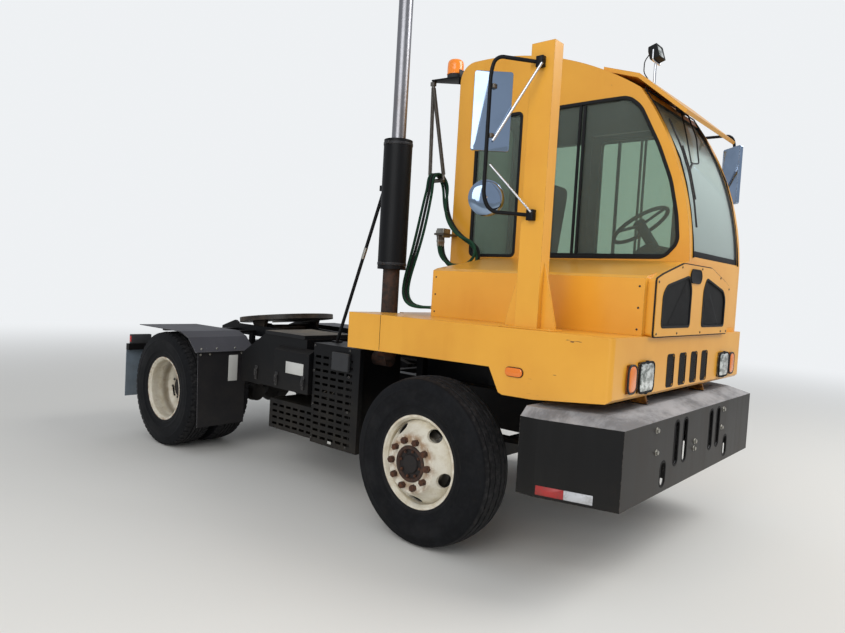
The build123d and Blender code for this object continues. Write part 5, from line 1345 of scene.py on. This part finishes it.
# Rear end: screws of the fenders and flaps, box latches, blank plates and the block on the guard
rearSet = {
    "fenderX": -2524, "fenderScrews": [(-1190, 940), (-1041, 940), (-859, 940)],
    "splashX": -2534, "splashBolts": [(-1190, 890), (-1100, 890), (-780, 890)],
    "flapBolts": [(y, 825) for y in (700, 820, 940, 1060, 1180)],
    "latches": ((-2085, -932, 770, 92), (-1735, -986, 768, 86), (-1400, -986, 778, 86)),
    "plate": (-1621, -1402, 842, 935), "plateY": -985, "smallPlate": (-914, -822, 644, 876), "smallPlateX": -2532,
    "block": ((-1085, -985, 935), (-905, -958, 1069)), "tag": (-1112, -1072, 372, 392), "guardY": -960,
    "guardBolts": [(x, z) for x in (-1303, -915) for z in (380, 640, 900, 1090)],
}


def makeLatch(name, x, y, z, tall):
    high = z + tall / 2
    strap = addPad(name, (x - 11, y - 7, z - tall / 2), (x + 11, y + 2, high), rightward, (5, 6), extrude=True)
    hook = addTube(name + "Hook", [(x - 9, y - 12, high), (x - 9, y - 16, z - 6), (x + 9, y - 16, z - 6),
                                   (x + 9, y - 12, high)], 3, 6)
    pad = addPad(name + "Pad", (x - 17, y - 5, high), (x + 17, y + 2, high + 24), rightward, (4, 0))
    finishPiece(joinAll(name, [strap, hook, pad]), "darkSteel", 1.5)


def makeRearDetails(r):
    for side, word in sides:
        for model, name, size, facing, x, places, way in (
                (domeModel, "fenderScrews", 20, ahead, r["fenderX"], r["fenderScrews"], -side),
                (boltModel, "splashBolts", 16, ahead, r["splashX"], r["splashBolts"], -side),
                (boltModel, "flapBolts", 18, behind, rearEnd(), r["flapBolts"], side)):
            fasten(model, name + word, "zinc", size, facing, [(x, way * y, z) for y, z in places])
    for index, row in enumerate(r["latches"]):
        makeLatch("boxLatch" + str(index), *row)
    plate = addPlate("blankPlate", acrossY(r["plateY"], rectangle(*r["plate"])), rightward, 2, 5)
    finishPiece(plate, "whitePlate", 0.5)
    narrow = addPlate("narrowPlate", acrossX(r["smallPlateX"], rectangle(*r["smallPlate"])), ahead, 4, 4)
    finishPiece(narrow, "whitePlate", 1)
    finishPiece(addPad("guardBlock", *r["block"], rightward, (12, 4)), "plastic", 6, 3)
    fasten(boltModel, "guardBolts", "darkSteel", 15, rightward, acrossY(r["guardY"], r["guardBolts"]))
    tag = addPlate("guardTag", acrossY(r["guardY"], rectangle(*r["tag"])), rightward, 1.5, 3)
    finishPiece(tag, "whitePlate", 0.4)


makeRearDetails(rearSet)
print("rear details")


# Warning tape on the bumper's flanks
tapeSet = {
    "flank": ((822, -1220), (1250, -1110)), "low": 532, "high": 582, "proud": 0.2,
    "strips": ((0.02, 0.36, "redTape"), (0.36, 0.70, "whiteTape")),  # start and end as shares of the flank
}


def makeTape(t):
    start, end = (Vector(corner) for corner in t["flank"])
    outward = Vector((end.y - start.y, start.x - end.x)).normalized()
    for side, word in ((1, "Right"), (-1, "Left")):
        for index, (first, second, finish) in enumerate(t["strips"]):
            p, q = (start + (end - start) * part + outward * t["proud"] for part in (first, second))
            corners = [(spot.x, side * spot.y, z) for spot, z in ((p, t["low"]), (q, t["low"]), (q, t["high"]),
                                                                  (p, t["high"]))]
            strip = addPlate("tape" + word + str(index), corners, (outward.x, side * outward.y, 0), 1.2, 3)
            finishPiece(strip, finish, 0.3)


makeTape(tapeSet)
print("tape")


# Doors and cab outside: handles, grab rails, the skirt's seam and screws
outsideSet = {
    "doorHandle": (610, 1066, 1990), "rearHandle": (-826, 240, 1980),
    "grabs": (((735, 1063, 1560), (735, 1106, 1560), (735, 1106, 2260), (735, 1063, 2260)),
              ((-190, 1063, 1560), (-190, 1104, 1560), (-190, 1104, 2160), (-190, 1063, 2160)),
              ((-800, 930, 1560), (-866, 930, 1560), (-866, 930, 2360), (-800, 930, 2360))),
    "seam": (-488, -1100, 1150, 1384),
    "hoodScrews": [(x, z) for x in (-370, 1095) for z in (1420, 1540, 1660)], "hoodY": -690,
    "hangerBolts": [(y, z) for y in (-490, 490) for z in (1000, 1040)], "hangerX": 1110,
}


def makeOutside(o):
    x, y, z = o["doorHandle"]
    parts = [addPad("doorHandlePlate", (x - 60, y - 1, z - 22), (x + 60, y + 5, z + 22), leftward, (6, -3)),
             addTube("doorLever", [(x + 36, y + 2, z), (x + 36, y + 26, z), (x - 48, y + 26, z)], 7, 10)]
    finishPiece(joinAll("doorHandle", parts), "plastic", 2, body="left_door")
    x, y, z = o["rearHandle"]
    parts = [addPad("rearHandlePlate", (x - 3, y - 22, z - 60), (x + 3, y + 22, z + 60), behind, (6, -2)),
             addTube("rearLever", [(x, y, z + 36), (x - 24, y, z + 36), (x - 24, y, z - 48)], 7, 10)]
    finishPiece(joinAll("rearHandle", parts), "plastic", 2, body="rear_door")
    for index, points in enumerate(o["grabs"]):
        finishPiece(addTube("grabRail" + str(index), points, 11, 26, 4), "black", smooth=50)
    x, y, low, high = o["seam"]
    seam = addPad("skirtSeam" + str(x), (x - 1.5, y - 1, low), (x + 1.5, y + 1, high), rightward, (0.5, 0))
    finishPiece(seam, "shadeAndSeam")
    fasten(domeModel, "hoodScrews", "darkSteel", 13, rightward, acrossY(o["hoodY"], o["hoodScrews"]))
    fasten(domeModel, "hangerBolts", "darkSteel", 15, ahead, acrossX(o["hangerX"], o["hangerBolts"]))


makeOutside(outsideSet)
print("outside")


# Left side and frame: tank straps and cap, rows of rail bolts, brake chambers
sideSet = {
    "tank": (450, 934, 596, 1054), "straps": (-2120, -1580), "cap": (-1850, 700, 1050),
    "capTurned": [(0, 34), (34, 34), (44, 30), (46, 10), (38, 8), (38, -2), (0, -2)],
    "railY": 430, "railBolts": [(x, z) for x in range(-3300, -1300, 240) for z in (700, 860)],
    "chambers": ((400, 460), (-400, 460)), "chamberX": 190,
    "chamberTurned": [(0, 0), (54, 0), (78, 14), (84, 34), (88, 40), (88, 48), (84, 54), (82, 112), (72, 128),
                      (0, 132)],
}


def makeSides(s):
    for x in s["straps"]:
        strap = addRing("tankStrap" + str(x), acrossX(x, rectangle(*s["tank"])), ahead, 46, 7, 46)
        finishPiece(strap, "steel", 1.5)
    finishPiece(addTurned("tankCap", s["capTurned"], s["cap"], 24), "darkSteel", 1)
    for side, word in sides:
        fasten(boltModel, "railBolts" + word, "darkSteel", 22, (0, side, 0),
               acrossY(side * s["railY"], s["railBolts"]))
    for index, (y, z) in enumerate(s["chambers"]):
        chamber = addTurned("brakeChamber" + str(index), s["chamberTurned"], (rearX + s["chamberX"], y, z), 32, ahead)
        finishPiece(chamber, "black", 1)


makeSides(sideSet)
print("sides")


# Inside the cab: gauges on the dash, pedals and the gear lever
insideSet = {
    "gauges": [(771, 380, 1927), (771, 450, 1937), (771, 600, 1937), (771, 670, 1927)], "gaugeFacing": (-0.86, 0, 0.5),
    "gauge": [(0, 0), (20, 0), (24, 4), (28, 10), (28, 16), (24, 16), (23, 10), (0, 9)],
    "pedals": ((700, 420, 1480), (700, 620, 1480)), "pedalTilt": 0.5,
    "lever": [(120, 880, 1420), (120, 880, 1740), (150, 860, 1800)], "knobAt": (152, 858, 1822),
    "knob": [(0, 30), (14, 27), (22, 16), (24, 0), (18, -18), (9, -26), (0, -26)],
}


def makeInside(i):
    for index, place in enumerate(i["gauges"]):
        finishPiece(addTurned("gauge" + str(index), i["gauge"], place, 28, i["gaugeFacing"]), "darkSteel")
    for index, (x, y, z) in enumerate(i["pedals"]):
        pedal = addBlock("pedal" + str(index), (x, y - 35, z), (x + 8, y + 35, z + 110))
        edit(pedal, True)
        bpy.ops.transform.rotate(value=i["pedalTilt"], orient_axis="Y", center_override=at((x, y, z)))
        choose(pedal, "faces", lambda f: f.normal.x < -0.7)
        bpy.ops.mesh.inset(thickness=0.006)
        finishPiece(pedal, "seal", 2)
    lever = addTube("gearLever", i["lever"], 8, 20)
    knob = addTurned("gearKnob", i["knob"], i["knobAt"], 24)
    finishPiece(joinAll("gearLever", [lever, knob]), "plastic", smooth=50)


makeInside(insideSet)
print("inside")


# Studio: a pale floor, a soft sky and two large lamps
studioSet = {
    "floor": rgb(226, 224, 218), "floorSize": 120, "sky": (0.80, 0.83, 0.88, 1), "skyPower": 0.62,
    "backdrop": (0.86, 0.88, 0.90, 1), "fade": (4.5, 16), "target": (0.5, 0, 1.2),
    "lamps": {"key": ((7, 4, 8), 5, 520), "fill": ((3, -8, 5), 6, 300)},  # place, size, power
}


def makeFloor(s):
    startFresh()
    bpy.ops.mesh.primitive_plane_add(size=s["floorSize"], location=(0, 0, 0))
    floor = bpy.context.object
    floor.name = "floor"
    g = Graph("floorPale")
    g.finish(colour=s["floor"], rough=0.9 + g.noise(2) * 0.05)
    far = g.vectors("LENGTH", g.place, out="Value").step(*s["fade"])
    seen = g.add("ShaderNodeLightPath", out="Is Camera Ray")
    plain = g.add("ShaderNodeEmission", {}, {"Color": s["backdrop"]})
    floor.data.materials.append(g.blendWith(plain, far * seen, 2))


def makeSky(s):
    world = bpy.data.worlds.new("sky")
    bpy.context.scene.world = world
    world.use_nodes = True
    tree = world.node_tree
    back = tree.nodes["Background"]
    back.inputs["Color"].default_value = s["sky"]
    back.inputs["Strength"].default_value = s["skyPower"]
    seen = tree.nodes.new("ShaderNodeBackground")
    seen.inputs["Color"].default_value = s["backdrop"]
    rays = tree.nodes.new("ShaderNodeLightPath")
    blend = tree.nodes.new("ShaderNodeMixShader")
    tree.links.new(rays.outputs["Is Camera Ray"], blend.inputs[0])
    tree.links.new(back.outputs[0], blend.inputs[1])
    tree.links.new(seen.outputs[0], blend.inputs[2])
    tree.links.new(blend.outputs[0], tree.nodes["World Output"].inputs["Surface"])


def makeLamps(s):
    for name, (place, size, power) in s["lamps"].items():
        data = bpy.data.lights.new(name, "AREA")
        data.size = size
        data.energy = power
        lamp = bpy.data.objects.new(name, data)
        lamp.location = place
        lamp.rotation_mode = "QUATERNION"
        lamp.rotation_quaternion = (Vector(s["target"]) - Vector(place)).to_track_quat("-Z", "Y")
        bpy.context.scene.collection.objects.link(lamp)


makeFloor(studioSet)
makeSky(studioSet)
makeLamps(studioSet)
bpy.context.scene.view_settings.view_transform = "Standard"
print("studio")

for model in (boltModel, domeModel):
    bpy.data.objects.remove(model)
